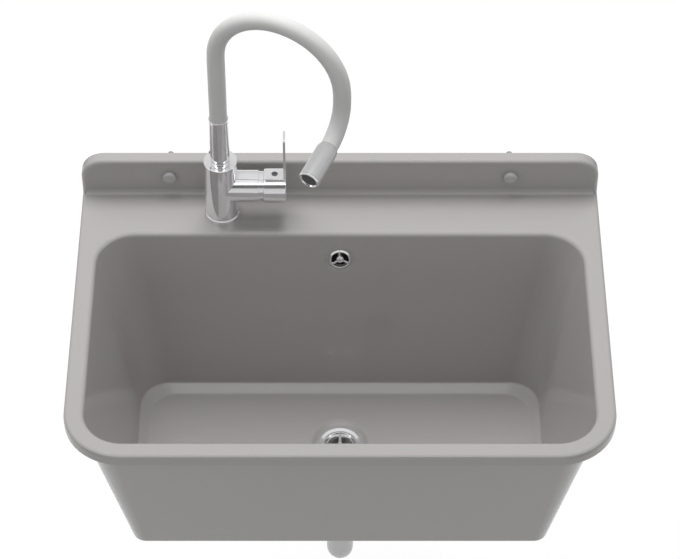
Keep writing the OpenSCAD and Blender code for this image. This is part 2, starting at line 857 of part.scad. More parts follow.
// The wire ring passes through the eye of the plug's lug, and lies on the plug's top
module plug_ring() {
    color([0.75, 0.75, 0.77]) at_plug() translate([0, 0, plug_h + plug_eye_h])
        rotate([0, plug_ring_tilt, 0]) translate([plug_ring_r, 0, 0])
            rotate_extrude() translate([plug_ring_r, 0]) circle(r = plug_wire_r);
}

module waste_body() {
    color([0.93, 0.93, 0.92]) at_drain() translate([0, 0, waste_z]) {
        difference() {
            union() {
                rotate_extrude() polygon([
                    [0, 0], [flange_d / 2 + 2.5, 0], [flange_d / 2 + 2.5, -4],
                    [waste_cup_r + waste_t, -5], [waste_cup_r + waste_t, -waste_cup_h],
                    [thread_r, -waste_cup_h - 8], [thread_r, -waste_h], [0, -waste_h]]);
                translate([0, 0, -inlet_h]) rotate([-90, 0, 0])
                    cylinder(r = inlet_r, h = inlet_mouth);
            }
            rotate_extrude() polygon([
                [0, over], [waste_cup_r, over], [waste_cup_r, -waste_cup_h + 3],
                [pipe_in_r + 0.5, -waste_cup_h - 6], [pipe_in_r + 0.5, -waste_h - over],
                [0, -waste_h - over]]);
            translate([0, 0, -inlet_h]) rotate([-90, 0, 0])
                cylinder(r = inlet_bore_r, h = inlet_mouth + over);
        }
        // the boss that takes the drain's screw, and the ribs that hold it
        difference() {
            union() {
                translate([0, 0, -waste_cup_h + 4]) cylinder(r = 5.5, h = waste_cup_h - 20);
                for (rib = [45, 165, 285]) {
                    rotate([0, 0, rib]) translate([4, -1.25, -waste_cup_h + 5])
                        cube([waste_cup_r - 3, 2.5, 8]);
                }
            }
            translate([0, 0, -waste_cup_h])
                cylinder(r = drain_screw_d / 2 + run_fit, h = waste_cup_h);
        }
    }
}

module waste_seal() {
    color([0.60, 0.65, 0.34]) at_drain() translate([0, 0, tail_top_z])
        tube(thread_r - 0.3, pipe_in_r + 0.5, waste_seal_t);
}

// A union nut with its lip at z = 0 and its threads upwards
module union_nut(bore, lip_bore, h) {
    difference() {
        union() {
            cylinder(r = nut_r, h = h - 3);
            cylinder(r = nut_r - 1.2, h = h);
        }
        translate([0, 0, nut_lip]) cylinder(r = bore, h = h);
        translate([0, 0, -over]) cylinder(r = lip_bore, h = nut_lip + 2 * over);
    }
}

module waste_nut() {
    color([0.93, 0.93, 0.92]) at_drain() translate([0, 0, tail_top_z - collar_h - nut_lip])
        union_nut(thread_r + put_fit, pipe_r + put_fit, nut_h);
}

module tailpipe() {
    color([0.93, 0.93, 0.92]) difference() {
        union() {
            at_drain() translate([0, 0, tail_end_z]) cylinder(r = pipe_r, h = tail_l);
            at_drain() translate([0, 0, tail_top_z - collar_h])
                cylinder(r = thread_r - 0.3, h = collar_h);
            at_branch() cylinder(r = branch_r, h = branch_l);
        }
        at_drain() translate([0, 0, tail_end_z - over]) cylinder(r = pipe_in_r, h = tail_l + 1);
        at_branch() cylinder(r = branch_in_r, h = branch_l + over);
    }
}

module branch_cap() {
    color([0.93, 0.93, 0.92]) at_branch() translate([0, 0, branch_l - cap_depth]) difference() {
        union() {
            cylinder(r = branch_r + cap_t, h = cap_depth + cap_t);
            for (rib = [0 : 45 : 315]) {
                rotate([0, 0, rib]) translate([branch_r + cap_t - 0.3, 0, 0])
                    cylinder(r = 0.8, h = cap_depth);
            }
        }
        translate([0, 0, -over]) cylinder(r = branch_r + run_fit, h = cap_depth + over);
    }
}

module branch_strap() {
    ring_z = branch_l + cap_t / 2 - 2 * strap_r;
    color([0.93, 0.93, 0.92]) at_branch() {
        translate([0, 0, ring_z - strap_ring_w / 2])
            tube(branch_r + 1.6, branch_r + 0.4, strap_ring_w);
        translate([branch_r + cap_t + 0.1, 0, ring_z + strap_r]) rotate([90, 0, 0])
            rotate([0, 0, -90]) rotate_extrude(angle = 180)
                translate([strap_r - 0.5, -1.25]) square([1, 2.5]);
        translate([branch_r + 1, -1.25, ring_z - 0.5]) cube([cap_t - 0.4, 2.5, 1]);
    }
}

module trap_inlet_nut() {
    color([0.93, 0.93, 0.92]) at_drain()
        translate([0, 0, leg_top_z + trap_seal_h + nut_lip]) mirror([0, 0, 1])
            union_nut(thread_r + put_fit, pipe_r + put_fit, nut_h);
}

module trap_inlet_seal() {
    color([0.60, 0.65, 0.34]) at_drain() translate([0, 0, leg_top_z])
        tube(thread_r - 0.2, pipe_r + put_fit, trap_seal_h);
}

// The outside and the bore of a socket at the top of a trap leg, with its mouth at z = 0
module socket_outside(depth) {
    translate([0, 0, -nut_h + 4]) cylinder(r = thread_r, h = nut_h - 4);
    translate([0, 0, -depth - 3]) cylinder(r = pipe_r + 2.2, h = depth);
}

module trap_bend() {
    color([0.93, 0.93, 0.92]) at_drain() difference() {
        union() {
            translate([0, 0, leg_top_z]) socket_outside(socket_depth);
            translate([0, 0, bend_z]) cylinder(r = pipe_r, h = trap_leg_h - 10);
            translate([0, trap_pitch, out_leg_z]) socket_outside(outlet_insert + 1);
            translate([0, trap_pitch, bend_z])
                cylinder(r = pipe_r, h = trap_leg_h - trap_step - 10);
            translate([0, trap_pitch / 2, bend_z]) rotate([90, 0, 90])
                rod_bend(trap_pitch / 2, 180, 180, pipe_r);
        }
        translate([0, 0, leg_top_z - socket_depth])
            cylinder(r = pipe_r + put_fit, h = socket_depth + over);
        translate([0, 0, bend_z]) cylinder(r = pipe_in_r, h = trap_leg_h);
        translate([0, trap_pitch, out_leg_z - outlet_insert - 1])
            cylinder(r = pipe_r + put_fit, h = outlet_insert + 1 + over);
        translate([0, trap_pitch, bend_z]) cylinder(r = pipe_in_r, h = trap_leg_h - trap_step);
        translate([0, trap_pitch / 2, bend_z]) rotate([90, 0, 90])
            rod_bend(trap_pitch / 2, 180, 180, pipe_in_r);
    }
}

module trap_outlet_nut() {
    color([0.93, 0.93, 0.92]) at_drain()
        translate([0, trap_pitch, out_leg_z + trap_seal_h + nut_lip]) mirror([0, 0, 1])
            union_nut(thread_r + put_fit, pipe_r + put_fit, nut_h);
}

module trap_outlet_seal() {
    color([0.60, 0.65, 0.34]) at_drain() translate([0, trap_pitch, out_leg_z])
        tube(thread_r - 0.2, pipe_r + put_fit, trap_seal_h);
}

module outlet_pipe() {
    run_y = trap_pitch + outlet_bend_r;
    color([0.93, 0.93, 0.92]) at_drain() {
        translate([0, trap_pitch, outlet_foot_z])
            tube(pipe_r, pipe_in_r, outlet_z - outlet_bend_r - outlet_foot_z);
        translate([0, run_y, outlet_z - outlet_bend_r]) rotate([90, 0, 90])
            bend(outlet_bend_r, 90, 90, pipe_r, pipe_in_r);
        translate([0, run_y, outlet_z]) rotate([-90, 0, 0]) difference() {
            union() {
                cylinder(r = pipe_r, h = drain_back - run_y + outlet_end_from);
                cylinder(r = outlet_end_r, h = drain_back - run_y + outlet_out);
            }
            translate([0, 0, -over])
                cylinder(r = pipe_in_r, h = drain_back - run_y + outlet_out + 1);
        }
    }
}

module lobed_outline(grow) {
    circle(r = pipe_r + 6 + grow);
    for (lobe = [0 : 90 : 270]) {
        rotate([0, 0, lobe])
            translate([wall_rosette_d / 2 - wall_lobe_r, 0]) circle(r = wall_lobe_r + grow);
    }
}

module wall_rosette() {
    color([0.93, 0.93, 0.92]) at_drain()
        translate([0, drain_back, outlet_z]) rotate([90, 0, 0]) difference() {
            union() {
                linear_extrude(wall_rosette_t - 5) lobed_outline(0);
                translate([0, 0, wall_rosette_t - 6]) linear_extrude(3.5) lobed_outline(-2);
                cylinder(r = pipe_r + 4, h = wall_rosette_t);
            }
            translate([0, 0, -over]) cylinder(r = pipe_r + put_fit, h = wall_rosette_t + 1);
        }
}

module tap_body() {
    chamber_z = arm_h - 7;
    color([0.82, 0.82, 0.84]) difference() {
        union() {
            at_tap() translate([0, 0, seal_h]) cylinder(r = foot_r, h = base_ring_h);
            at_tap() translate([0, 0, base_ring_h]) cylinder(r = tap_r, h = tap_h - base_ring_h);
            at_tap() translate([0, 0, tap_h - 1]) cylinder(r = neck_r, h = neck_h + 1);
            at_cartridge() cylinder(r = arm_d / 2, h = arm_l);
        }
        // seat of the spout, and the way up to it
        at_tap() translate([0, 0, neck_top - spigot_l - 2])
            cylinder(r = spigot_r + run_fit, h = spigot_l + 3);
        at_tap() translate([0, 0, arm_h]) cylinder(r = 5, h = tap_h - arm_h);
        // seat of the cartridge, and the way out of it
        at_cartridge() translate([0, 0, cartridge_back])
            cylinder(r = cartridge_r + put_fit, h = arm_l - cartridge_back + over);
        at_cartridge() cylinder(r = 5, h = cartridge_back + over);
        // supply ports
        for (side = [-1, 1]) {
            at_tap() translate([0, side * port_y, seal_h - over])
                cylinder(r = port_r, h = port_depth + over);
            at_tap() translate([0, side * port_y, seal_h]) cylinder(r = channel_r, h = chamber_z);
            at_cartridge() translate([arm_h - chamber_z, side * port_y, 0])
                cylinder(r = channel_r, h = cartridge_back + over);
        }
        at_tap() translate([stud_x, 0, seal_h - over])
            cylinder(r = stud_r + run_fit, h = stud_in + 1);
    }
}

module tap_base_ring() {
    color([0.82, 0.82, 0.84]) at_tap() rotate_extrude() polygon([
        [foot_r + put_fit, 0], [base_ring_d / 2, 0], [base_ring_d / 2, base_ring_h - 1.5],
        [base_ring_d / 2 - 0.6, base_ring_h], [foot_r + put_fit, base_ring_h]]);
}

module tap_base_seal() {
    color([0.10, 0.10, 0.10]) at_tap() tube(foot_r - 0.2, tap_hole_d / 2 + 0.5, seal_h);
}

module tap_stud() {
    color([0.72, 0.72, 0.70]) at_tap() translate([stud_x, 0, -stud_out])
        cylinder(r = stud_r, h = stud_out + seal_h + stud_in);
}

// A washer that is open at one side for the supply hoses
module horseshoe(t) {
    difference() {
        cylinder(r = clamp_r, h = t);
        translate([stud_x + stud_r + 2.5, -port_y - 5, -over])
            cube([2 * clamp_r, 2 * port_y + 10, t + 2 * over]);
        translate([stud_x, 0, -over]) cylinder(r = stud_r + 0.3, h = t + 2 * over);
    }
}

module tap_clamp_washer() {
    color([0.10, 0.10, 0.10]) at_tap() translate([0, 0, -wall_t - clamp_washer_t])
        horseshoe(clamp_washer_t);
}

module tap_clamp_plate() {
    color([0.70, 0.70, 0.70]) at_tap()
        translate([0, 0, -wall_t - clamp_washer_t - clamp_plate_t]) horseshoe(clamp_plate_t);
}

module tap_nut() {
    nut_top = -wall_t - clamp_washer_t - clamp_plate_t;
    color([0.78, 0.66, 0.36]) at_tap() translate([stud_x, 0, nut_top - tap_nut_h]) difference() {
        cylinder(r = stud_r + 3.5, h = tap_nut_h, $fn = 6);
        translate([0, 0, -over]) cylinder(r = stud_r + run_fit, h = tap_nut_h + 2 * over);
    }
}

module cartridge_housing() {
    color([0.85, 0.85, 0.83]) at_cartridge() difference() {
        translate([0, 0, cartridge_back])
            cylinder(r = cartridge_r, h = cartridge_front - cartridge_back);
        translate([0, 0, cartridge_back + 5])
            cylinder(r = cartridge_r - 2.5, h = carrier_z - cartridge_back - 5);
        translate([0, 0, carrier_z - over])
            cylinder(r = carrier_r + run_fit, h = cartridge_front - carrier_z + 1);
        for (side = [-1, 0, 1]) {
            translate([side == 0 ? 0 : 7, side * port_y, cartridge_back - over])
                cylinder(r = channel_r, h = 6);
        }
    }
}

module cartridge_disc() {
    color([0.95, 0.95, 0.93]) at_cartridge() translate([0, 0, cartridge_back + 5]) difference() {
        cylinder(r = cartridge_r - 2.8, h = carrier_z - cartridge_back - 5.3);
        for (side = [-1, 0, 1]) {
            translate([side == 0 ? 0 : 7, side * port_y, -over]) cylinder(r = 3, h = 10);
        }
    }
}

module cartridge_ring() {
    color([0.82, 0.82, 0.84]) at_cartridge() difference() {
        union() {
            translate([0, 0, cartridge_front])
                cylinder(r = cartridge_r - 0.1, h = arm_l - cartridge_front + 0.5);
            translate([0, 0, arm_l]) cylinder(r = dome_r, h = ring_flange_t);
            intersection() {
                translate([0, 0, pivot_z]) sphere(r = dome_r);
                translate([0, 0, pivot_z]) cylinder(r = dome_r, h = dome_r);
            }
        }
        translate([0, 0, cartridge_front - over]) cylinder(r = ring_bore_r, h = 2 * dome_r);
    }
}

module cartridge_carrier() {
    fork_w = stem_w / 2 + stem_gap;
    color([0.88, 0.88, 0.86]) at_cartridge() difference() {
        union() {
            translate([0, 0, carrier_z]) cylinder(r = carrier_r, h = cartridge_front - carrier_z);
            for (side = [-1, 1]) {
                translate([-6, side > 0 ? fork_w : -fork_w - ear_t, cartridge_front - 1])
                    cube([12, ear_t, pivot_z + 5 - cartridge_front]);
            }
        }
        translate([-carrier_r - 1, -fork_w, pivot_z - 10.5])
            cube([2 * carrier_r + 2, 2 * fork_w, 20]);
        translate([0, 0, pivot_z]) rotate([90, 0, 0])
            cylinder(r = pin_r + put_fit, h = 30, center = true);
    }
}

module carrier_pin() {
    color([0.75, 0.75, 0.77]) at_cartridge() translate([0, 0, pivot_z]) rotate([90, 0, 0])
        cylinder(r = pin_r, h = stem_w + 2 * (stem_gap + ear_t), center = true);
}

module lever_stem() {
    color([0.78, 0.66, 0.36]) at_cartridge() difference() {
        translate([-stem_w / 2, -stem_w / 2, pivot_z - 7])
            cube([stem_w, stem_w, hub_z + hub_l - 8 - pivot_z + 7]);
        translate([0, 0, pivot_z]) rotate([90, 0, 0])
            cylinder(r = pin_r + run_fit, h = 2 * stem_w, center = true);
    }
}

module handle_hub() {
    color([0.82, 0.82, 0.84]) at_cartridge() difference() {
        union() {
            translate([0, 0, hub_z]) cylinder(r = hub_r, h = hub_l - 1.5);
            translate([0, 0, hub_end - 1.5]) cylinder(r1 = hub_r, r2 = hub_r - 1.5, h = 1.5);
        }
        translate([0, 0, pivot_z]) sphere(r = hub_cavity_r);
        // socket of the stem
        translate([-stem_w / 2 - put_fit, -stem_w / 2 - put_fit, pivot_z])
            cube([stem_w + 2 * put_fit, stem_w + 2 * put_fit, hub_end - 7.9 - pivot_z]);
        // flat under the lever plate
        translate([-hub_r - 5, -hub_r, lever_foot_z])
            cube([hub_r + 5 - flat_x, 2 * hub_r, hub_l]);
        // relief under the rim, so that the hub can tilt
        translate([relief_x, -hub_r, hub_z - over]) cube([hub_r, 2 * hub_r, relief_l + over]);
        translate([-hub_r, 0, lever_screw_z]) rotate([0, 90, 0])
            cylinder(r = lever_screw_r + put_fit, h = hub_r - 11);
    }
}

// The plate lies on the hub's flat and turns up at the hub's end
module lever_blade() {
    color([0.82, 0.82, 0.84]) at_cartridge() difference() {
        union() {
            translate([-flat_x - lever_t, -lever_w / 2, lever_foot_z])
                cube([lever_t, lever_w, hub_end - lever_foot_z]);
            translate([-lever_h + lever_corner_r, -lever_w / 2, hub_end - lever_t])
                cube([lever_h - lever_corner_r - flat_x, lever_w, lever_t]);
            translate([-lever_h, -lever_w / 2 + lever_corner_r, hub_end - lever_t])
                cube([lever_corner_r + 1, lever_w - 2 * lever_corner_r, lever_t]);
            for (side = [-1, 1]) {
                translate([-lever_h + lever_corner_r, side * (lever_w / 2 - lever_corner_r),
                    hub_end - lever_t]) cylinder(r = lever_corner_r, h = lever_t);
            }
        }
        translate([-flat_x - lever_t - over, 0, lever_screw_z]) rotate([0, 90, 0]) {
            cylinder(r = lever_head_r + 0.4, h = lever_head_h + over);
            cylinder(r = lever_screw_r + put_fit, h = lever_t + 2 * over);
        }
    }
}

module lever_screw() {
    color([0.45, 0.45, 0.46]) at_cartridge()
        translate([-flat_x - lever_t, 0, lever_screw_z]) rotate([0, 90, 0]) {
            difference() {
                cylinder(r = lever_head_r, h = lever_head_h);
                for (slot = [0, 90]) {
                    rotate([0, 0, slot]) translate([-2.6, -0.45, -over]) cube([5.2, 0.9, 1.6]);
                }
            }
            translate([0, 0, lever_head_h - over])
                cylinder(r = lever_screw_r, h = flat_x + lever_t - lever_head_h - 11 + over);
        }
}

module spout_slip_ring() {
    color([0.10, 0.10, 0.10]) at_tap() translate([0, 0, neck_top + 0.1])
        tube(neck_r - 0.8, spigot_r + put_fit, 0.9);
}

module spout_spigot() {
    color([0.78, 0.66, 0.36]) at_tap() difference() {
        union() {
            translate([0, 0, neck_top - spigot_l]) cylinder(r = spigot_r, h = spigot_l + 2);
            translate([0, 0, sleeve_z]) cylinder(r = sleeve_in_r - 0.1, h = spigot_head_h);
        }
        translate([0, 0, neck_top - spigot_l - over])
            cylinder(r = 6, h = spigot_l + spigot_head_h + 3);
        for (groove = [8, 18]) {
            translate([0, 0, neck_top - spigot_l + groove]) tube(spigot_r + 1, spigot_r - 1.8, 2.4);
        }
        translate([0, 0, sleeve_z + set_screw_h]) rotate([0, -90, 0])
            cylinder(r = set_screw_r + put_fit, h = spigot_r + 3);
    }
}

module spout_o_rings() {
    color([0.06, 0.06, 0.06]) at_tap() {
        for (groove = [8, 18]) {
            translate([0, 0, neck_top - spigot_l + groove + 1.2])
                rotate_extrude() translate([spigot_r - 0.88, 0]) circle(r = 0.88);
        }
    }
}

module spout_sleeve() {
    color([0.82, 0.82, 0.84]) at_tap() translate([0, 0, sleeve_z]) difference() {
        tube(sleeve_d / 2, sleeve_in_r, sleeve_h);
        translate([0, 0, set_screw_h]) rotate([0, -90, 0])
            cylinder(r = set_screw_r + put_fit, h = sleeve_d);
    }
}

module sleeve_set_screw() {
    color([0.30, 0.30, 0.31]) at_tap() translate([0, 0, sleeve_z + set_screw_h])
        rotate([0, -90, 0]) difference() {
            translate([0, 0, 8]) cylinder(r = set_screw_r, h = sleeve_d / 2 + 1.5 - 8);
            translate([0, 0, sleeve_d / 2 + 0.5]) cylinder(r = 1, h = 2);
        }
}

// The spout's arm from height "start" to where it starts to curl, as a solid rod
module arch_rod(start, r) {
    at_arch() {
        translate([0, 0, start]) cylinder(r = r, h = arch_start_h - start);
        translate([arch_up_r, 0, arch_start_h]) rotate([90, 0, 0]) rod_bend(arch_up_r, 90, 90, r);
        translate([arch_up_r, 0, drop_z]) rotate([90, 0, 0]) rod_bend(arch_down_r, 0, 90, r);
        translate([arch_up_r + arch_down_r, 0, drop_z - arch_drop])
            cylinder(r = r, h = arch_drop);
    }
}

module curl_rod(r) {
    at_curl() {
        cylinder(r = r, h = seam_l);
        translate([curl_r, 0, 0]) rotate([90, 0, 0]) rod_bend(curl_r, 180, curl_angle, r);
    }
}

// The spout's arm as a tube: the arch, the curl and a straight end that sits in the head
module spout_arm(start, outer, inner) {
    difference() {
        arch_rod(start, outer);
        arch_rod(start, inner);
    }
    difference() {
        curl_rod(outer - seam);
        curl_rod(inner + seam);
    }
    at_head() translate([0, 0, -seam_l])
        tube(outer - 2 * seam, inner + 2 * seam, head_insert + seam_l);
}

module spout_hose() {
    color([0.66, 0.66, 0.65]) spout_arm(hose_start, hose_r, hose_in_r);
}

module spout_core() {
    color([0.60, 0.60, 0.62]) spout_arm(core_start, core_r, core_in_r);
}

module spout_head() {
    color([0.80, 0.80, 0.80]) at_head() rotate_extrude() polygon([
        [hose_r + put_fit, -1], [hose_r + 0.6, -1], [head_r - 0.8, 2], [head_r, 4.5],
        [head_r, head_l - aerator_ring_h], [aerator_r + put_fit, head_l - aerator_ring_h],
        [aerator_r + put_fit, head_l - aerator_ring_h - aerator_depth],
        [core_in_r, head_l - aerator_ring_h - aerator_depth],
        [core_in_r, head_insert + 0.1], [hose_r + put_fit, head_insert + 0.1]]);
}

module aerator_ring() {
    color([0.82, 0.82, 0.84]) at_head() translate([0, 0, head_l - aerator_ring_h])
        rotate_extrude() polygon([
            [aerator_r - 1.5, -aerator_depth + 1], [aerator_r, -aerator_depth + 1],
            [aerator_r, 0], [head_r, 0], [head_r, aerator_ring_h - 0.8],
            [head_r - 0.8, aerator_ring_h], [aerator_r - 0.5, aerator_ring_h],
            [aerator_r - 1.5, aerator_ring_h - 1]]);
}

module aerator_insert() {
    insert_r = aerator_r - 1.5 - put_fit;
    insert_z = head_l - aerator_ring_h - aerator_depth + 1;
    color([0.15, 0.15, 0.15]) at_head() difference() {
        translate([0, 0, insert_z]) cylinder(r = insert_r, h = aerator_depth + 0.5);
        translate([0, 0, insert_z - over]) cylinder(r = insert_r - 1.2, h = aerator_depth - 1);
        for (row = [1 : 3]) {
            for (hole = [1 : 6 * row]) {
                rotate([0, 0, hole * 60 / row])
                    translate([row * insert_r / 3.8, 0, insert_z + aerator_depth - 3])
                        cylinder(r = 0.75, h = 6, $fn = 16);
            }
        }
    }
}

basin();
wall_screws();
wall_washers();
screw_caps();
overflow_rosette();
overflow_screw();
overflow_gasket();
overflow_head();
overflow_pipe();
overflow_nut();
overflow_seal();
drain_strainer();
drain_gasket();
drain_screw();
plug_body();
plug_ring();
waste_body();
waste_seal();
waste_nut();
tailpipe();
branch_cap();
branch_strap();
trap_inlet_nut();
trap_inlet_seal();
trap_bend();
trap_outlet_nut();
trap_outlet_seal();
outlet_pipe();
wall_rosette();
tap_body();
tap_base_ring();
tap_base_seal();
tap_stud();
tap_clamp_washer();
tap_clamp_plate();
tap_nut();
cartridge_housing();
cartridge_disc();
cartridge_ring();
cartridge_carrier();
carrier_pin();
lever_stem();
handle_hub();
lever_blade();
lever_screw();
spout_slip_ring();
spout_spigot();
spout_o_rings();
spout_sleeve();
sleeve_set_screw();
spout_hose();
spout_core();
spout_head();
aerator_ring();
aerator_insert();
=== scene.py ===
import json
from math import atan2, cos, pi, radians, sin, sqrt, tan

import bpy
import bmesh
from mathutils import Matrix, Vector


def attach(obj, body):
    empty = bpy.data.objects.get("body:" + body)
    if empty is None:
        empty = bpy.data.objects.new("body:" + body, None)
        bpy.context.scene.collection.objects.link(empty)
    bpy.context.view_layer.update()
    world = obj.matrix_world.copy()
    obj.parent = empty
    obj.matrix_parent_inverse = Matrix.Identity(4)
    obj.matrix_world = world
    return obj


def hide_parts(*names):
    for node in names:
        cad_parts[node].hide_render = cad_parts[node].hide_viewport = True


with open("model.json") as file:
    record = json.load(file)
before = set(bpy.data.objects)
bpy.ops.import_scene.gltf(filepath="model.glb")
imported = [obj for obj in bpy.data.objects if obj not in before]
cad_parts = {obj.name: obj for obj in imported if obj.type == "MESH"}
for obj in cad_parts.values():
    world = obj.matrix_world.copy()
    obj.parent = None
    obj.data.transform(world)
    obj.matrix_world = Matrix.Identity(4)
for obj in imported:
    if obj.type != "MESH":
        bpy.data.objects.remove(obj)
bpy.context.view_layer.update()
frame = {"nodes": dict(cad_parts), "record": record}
scene = bpy.context.scene

# Sizes, as the part's source has them, in millimetres and degrees
MM = 0.001
# the basin
SINK_HALF_W, SINK_FRONT, SINK_CORNER_R = 375, -515, 82
MOUTH_HALF_W, MOUTH_FRONT, MOUTH_BACK, MOUTH_CORNER_R = 347, -487, -103, 54
EDGE_R, MOUTH_ROUND, COVE_R, WALL_T, DRAFT = 5.5, 8, 8, 4.5, 11.136
UPSTAND_H, UPSTAND_CORNER_R, UPSTAND_FRONT, FIXING_X = 63, 44, -18, 247
DECK_Z, OVERFLOW_Z, FLOOR_Z, FOOT_Z = -33, -45, -276, -286.5
DRAIN_Y, DRAIN_Z, DRAIN_R = -262, -282, 33.4
PLUG_X, PLUG_Y, PLUG_RING_Z = 62, -367, 12.5
# the tap
TAP_X, TAP_Y = -170, -60
COLUMN_R, COLUMN_H, ARM_R, ARM_L, ARM_Z = 24, 107, 23, 54, 56
SLEEVE_Z, LEVER_SCREW_Z = 112, 76.75
RISE_TOP, ARCH_TURN, ARCH_UP_R, ARCH_DOWN_R, ARCH_DROP = 308, 20, 86, 98, 18
ARCH_REACH = ARCH_UP_R + ARCH_DOWN_R
DROP_TOP = RISE_TOP + ARCH_UP_R - ARCH_DOWN_R
CURL_TURN, CURL_R, CURL_ANGLE = 97, 50, 80
HOSE_START, HOSE_IN_HEAD, HOSE_R, HOSE_IN_R = 148, 12, 12.5, 9.0
HEAD_R, HEAD_L = 15, 57
# the waste
WASTE_TOP, INLET_Z, INLET_L, BRANCH_Z = -7.5, -27.5, 52, -124
PIPE_R, PIPE_IN_R, SOCKET_R, SOCKET_IN_R = 20, 18, 23.5, 20.15
TRAP_R, TRAP_Z, OUTLET_Z = 33, -231, -147
TRAP_OUT_Y = 2 * TRAP_R
BRANCH_R, BRANCH_L, BRANCH_CAP_Z = 10, 70, 60


# Places on the sink
def shift(x, y, z):
    return Matrix.Translation((x * MM, y * MM, z * MM))


def turn(degrees, axis):
    return Matrix.Rotation(radians(degrees), 4, axis)


def unit(degrees):
    return cos(radians(degrees)), sin(radians(degrees))


SINK = Matrix.Identity(4)
DECK = shift(0, 0, DECK_Z)
OVERFLOW_Y = MOUTH_BACK - (-OVERFLOW_Z - MOUTH_ROUND) * tan(radians(DRAFT))
OVERFLOW = DECK @ shift(0, OVERFLOW_Y, OVERFLOW_Z) @ turn(90 - DRAFT, "X")
DRAIN = DECK @ shift(0, DRAIN_Y, DRAIN_Z)
WASTE = DRAIN @ shift(0, 0, WASTE_TOP)
INLET = DRAIN @ shift(0, 0, INLET_Z) @ turn(-90, "X")
INLET_MOUTH = DRAIN @ shift(0, INLET_L, INLET_Z) @ turn(-90, "X")
BRANCH = DRAIN @ shift(0, 0, BRANCH_Z) @ turn(45, "Y")
BRANCH_CAP = BRANCH @ shift(0, 0, BRANCH_CAP_Z)
WALL_HOLE = DRAIN @ shift(0, -DRAIN_Y, OUTLET_Z) @ turn(90, "X")
TAP = DECK @ shift(TAP_X, TAP_Y, 0)
CARTRIDGE = TAP @ shift(0, 0, ARM_Z) @ turn(90, "Y")
ARCH = TAP @ turn(-ARCH_TURN, "Z")
CURL = ARCH @ shift(ARCH_REACH, 0, DROP_TOP - ARCH_DROP) @ turn(-CURL_TURN, "Z")
CURL_COS, CURL_SIN = unit(CURL_ANGLE)
HEAD = (CURL @ shift(CURL_R * (1 - CURL_COS), 0, -CURL_R * CURL_SIN)
        @ turn(180 - CURL_ANGLE, "Y"))
PLUG = DECK @ shift(PLUG_X, PLUG_Y, FLOOR_Z)
FIXINGS = [shift(side * FIXING_X, UPSTAND_FRONT, 0) @ turn(90, "X") for side in (-1, 1)]


# Outlines and skins
def steps_to_one(steps):
    return [i / steps for i in range(steps + 1)]


def arc(centre, radius, start, end, steps):
    """Points on a circle from angle start to angle end."""
    across = [unit(start + (end - start) * i / steps) for i in range(steps + 1)]
    return [(centre[0] + radius * c, centre[1] + radius * s) for c, s in across]


def eased(corners, steps=4):
    """A closed outline of (x, y) or (x, y, radius) corners, each radius rounded off."""
    outline = []
    for i, corner in enumerate(corners):
        tip = Vector(corner[:2])
        if len(corner) < 3:
            outline.append(tuple(tip))
            continue
        back = Vector(corners[i - 1][:2]) - tip
        ahead = Vector(corners[(i + 1) % len(corners)][:2]) - tip
        half = back.angle(ahead) / 2
        reach = min(corner[2] / tan(half), 0.49 * min(back.length, ahead.length))
        radius = reach * tan(half)
        inward = (back.normalized() + ahead.normalized()).normalized()
        centre = tip + inward * radius / sin(half)
        first = tip + back.normalized() * reach - centre
        last = tip + ahead.normalized() * reach - centre
        start = atan2(first.y, first.x)
        sweep = (atan2(last.y, last.x) - start + pi) % (2 * pi) - pi
        for k in range(steps + 1):
            a = start + sweep * k / steps
            outline.append((centre.x + radius * cos(a), centre.y + radius * sin(a)))
    return outline


def circle(sides):
    angles = [2 * pi * i / sides for i in range(sides)]
    return [(cos(a), sin(a)) for a in angles]


def ring(radius, z, sides):
    return [(radius * c, radius * s, z) for c, s in circle(sides)]


def skin(rows, closed=True):
    """Faces over rows of equally many points, where each row is a ring. The last row
    joins the first, or if not closed, both get an end face."""
    sides = len(rows[0])
    points = [p for row in rows for p in row]
    pairs = [(i, i + 1) for i in range(len(rows) - 1)]
    if closed:
        pairs.append((len(rows) - 1, 0))
    faces = [(a * sides + i, a * sides + (i + 1) % sides,
              b * sides + (i + 1) % sides, b * sides + i)
             for a, b in pairs for i in range(sides)]
    if not closed:
        faces.append(tuple(range(sides)))
        faces.append(tuple((len(rows) - 1) * sides + i for i in range(sides)))
    return points, faces


def turned(outline, sides=72):
    """A closed outline of (radius, height), turned round Z."""
    return skin([ring(max(r, 0), z, sides) for r, z in outline])


def rod(radius, low, high, sides=48):
    return turned([(0, low), (radius, low), (radius, high), (0, high)], sides)


def block(low, high):
    (x0, y0, z0), (x1, y1, z1) = low, high
    rows = [[(x0, y0, z), (x1, y0, z), (x1, y1, z), (x0, y1, z)] for z in (z0, z1)]
    return skin(rows, closed=False)


def directions_across(path):
    """For each point of a path, two directions across it that don't twist."""
    across = []
    side = None
    for i, point in enumerate(path):
        ahead = (path[min(i + 1, len(path) - 1)] - path[max(i - 1, 0)]).normalized()
        if side is None:
            side = ahead.orthogonal().normalized()
        side = (side - ahead * side.dot(ahead)).normalized()
        across.append((side, ahead.cross(side)))
    return across


def pipe(path, outer, inner, sides=56):
    """A pipe along a path. outer and inner are one radius, or one for each point."""
    path = [Vector(p) for p in path]
    outer, inner = [radius if isinstance(radius, list) else [radius] * len(path)
                    for radius in (outer, inner)]
    stations = list(zip(path, directions_across(path)))

    def row(point, across, radius):
        side, other = across
        return [point + (side * c + other * s) * radius for c, s in circle(sides)]

    rows = [row(*station, r) for station, r in zip(stations, outer)]
    rows += [row(*station, r) for station, r in zip(stations[::-1], inner[::-1])]
    return skin(rows)


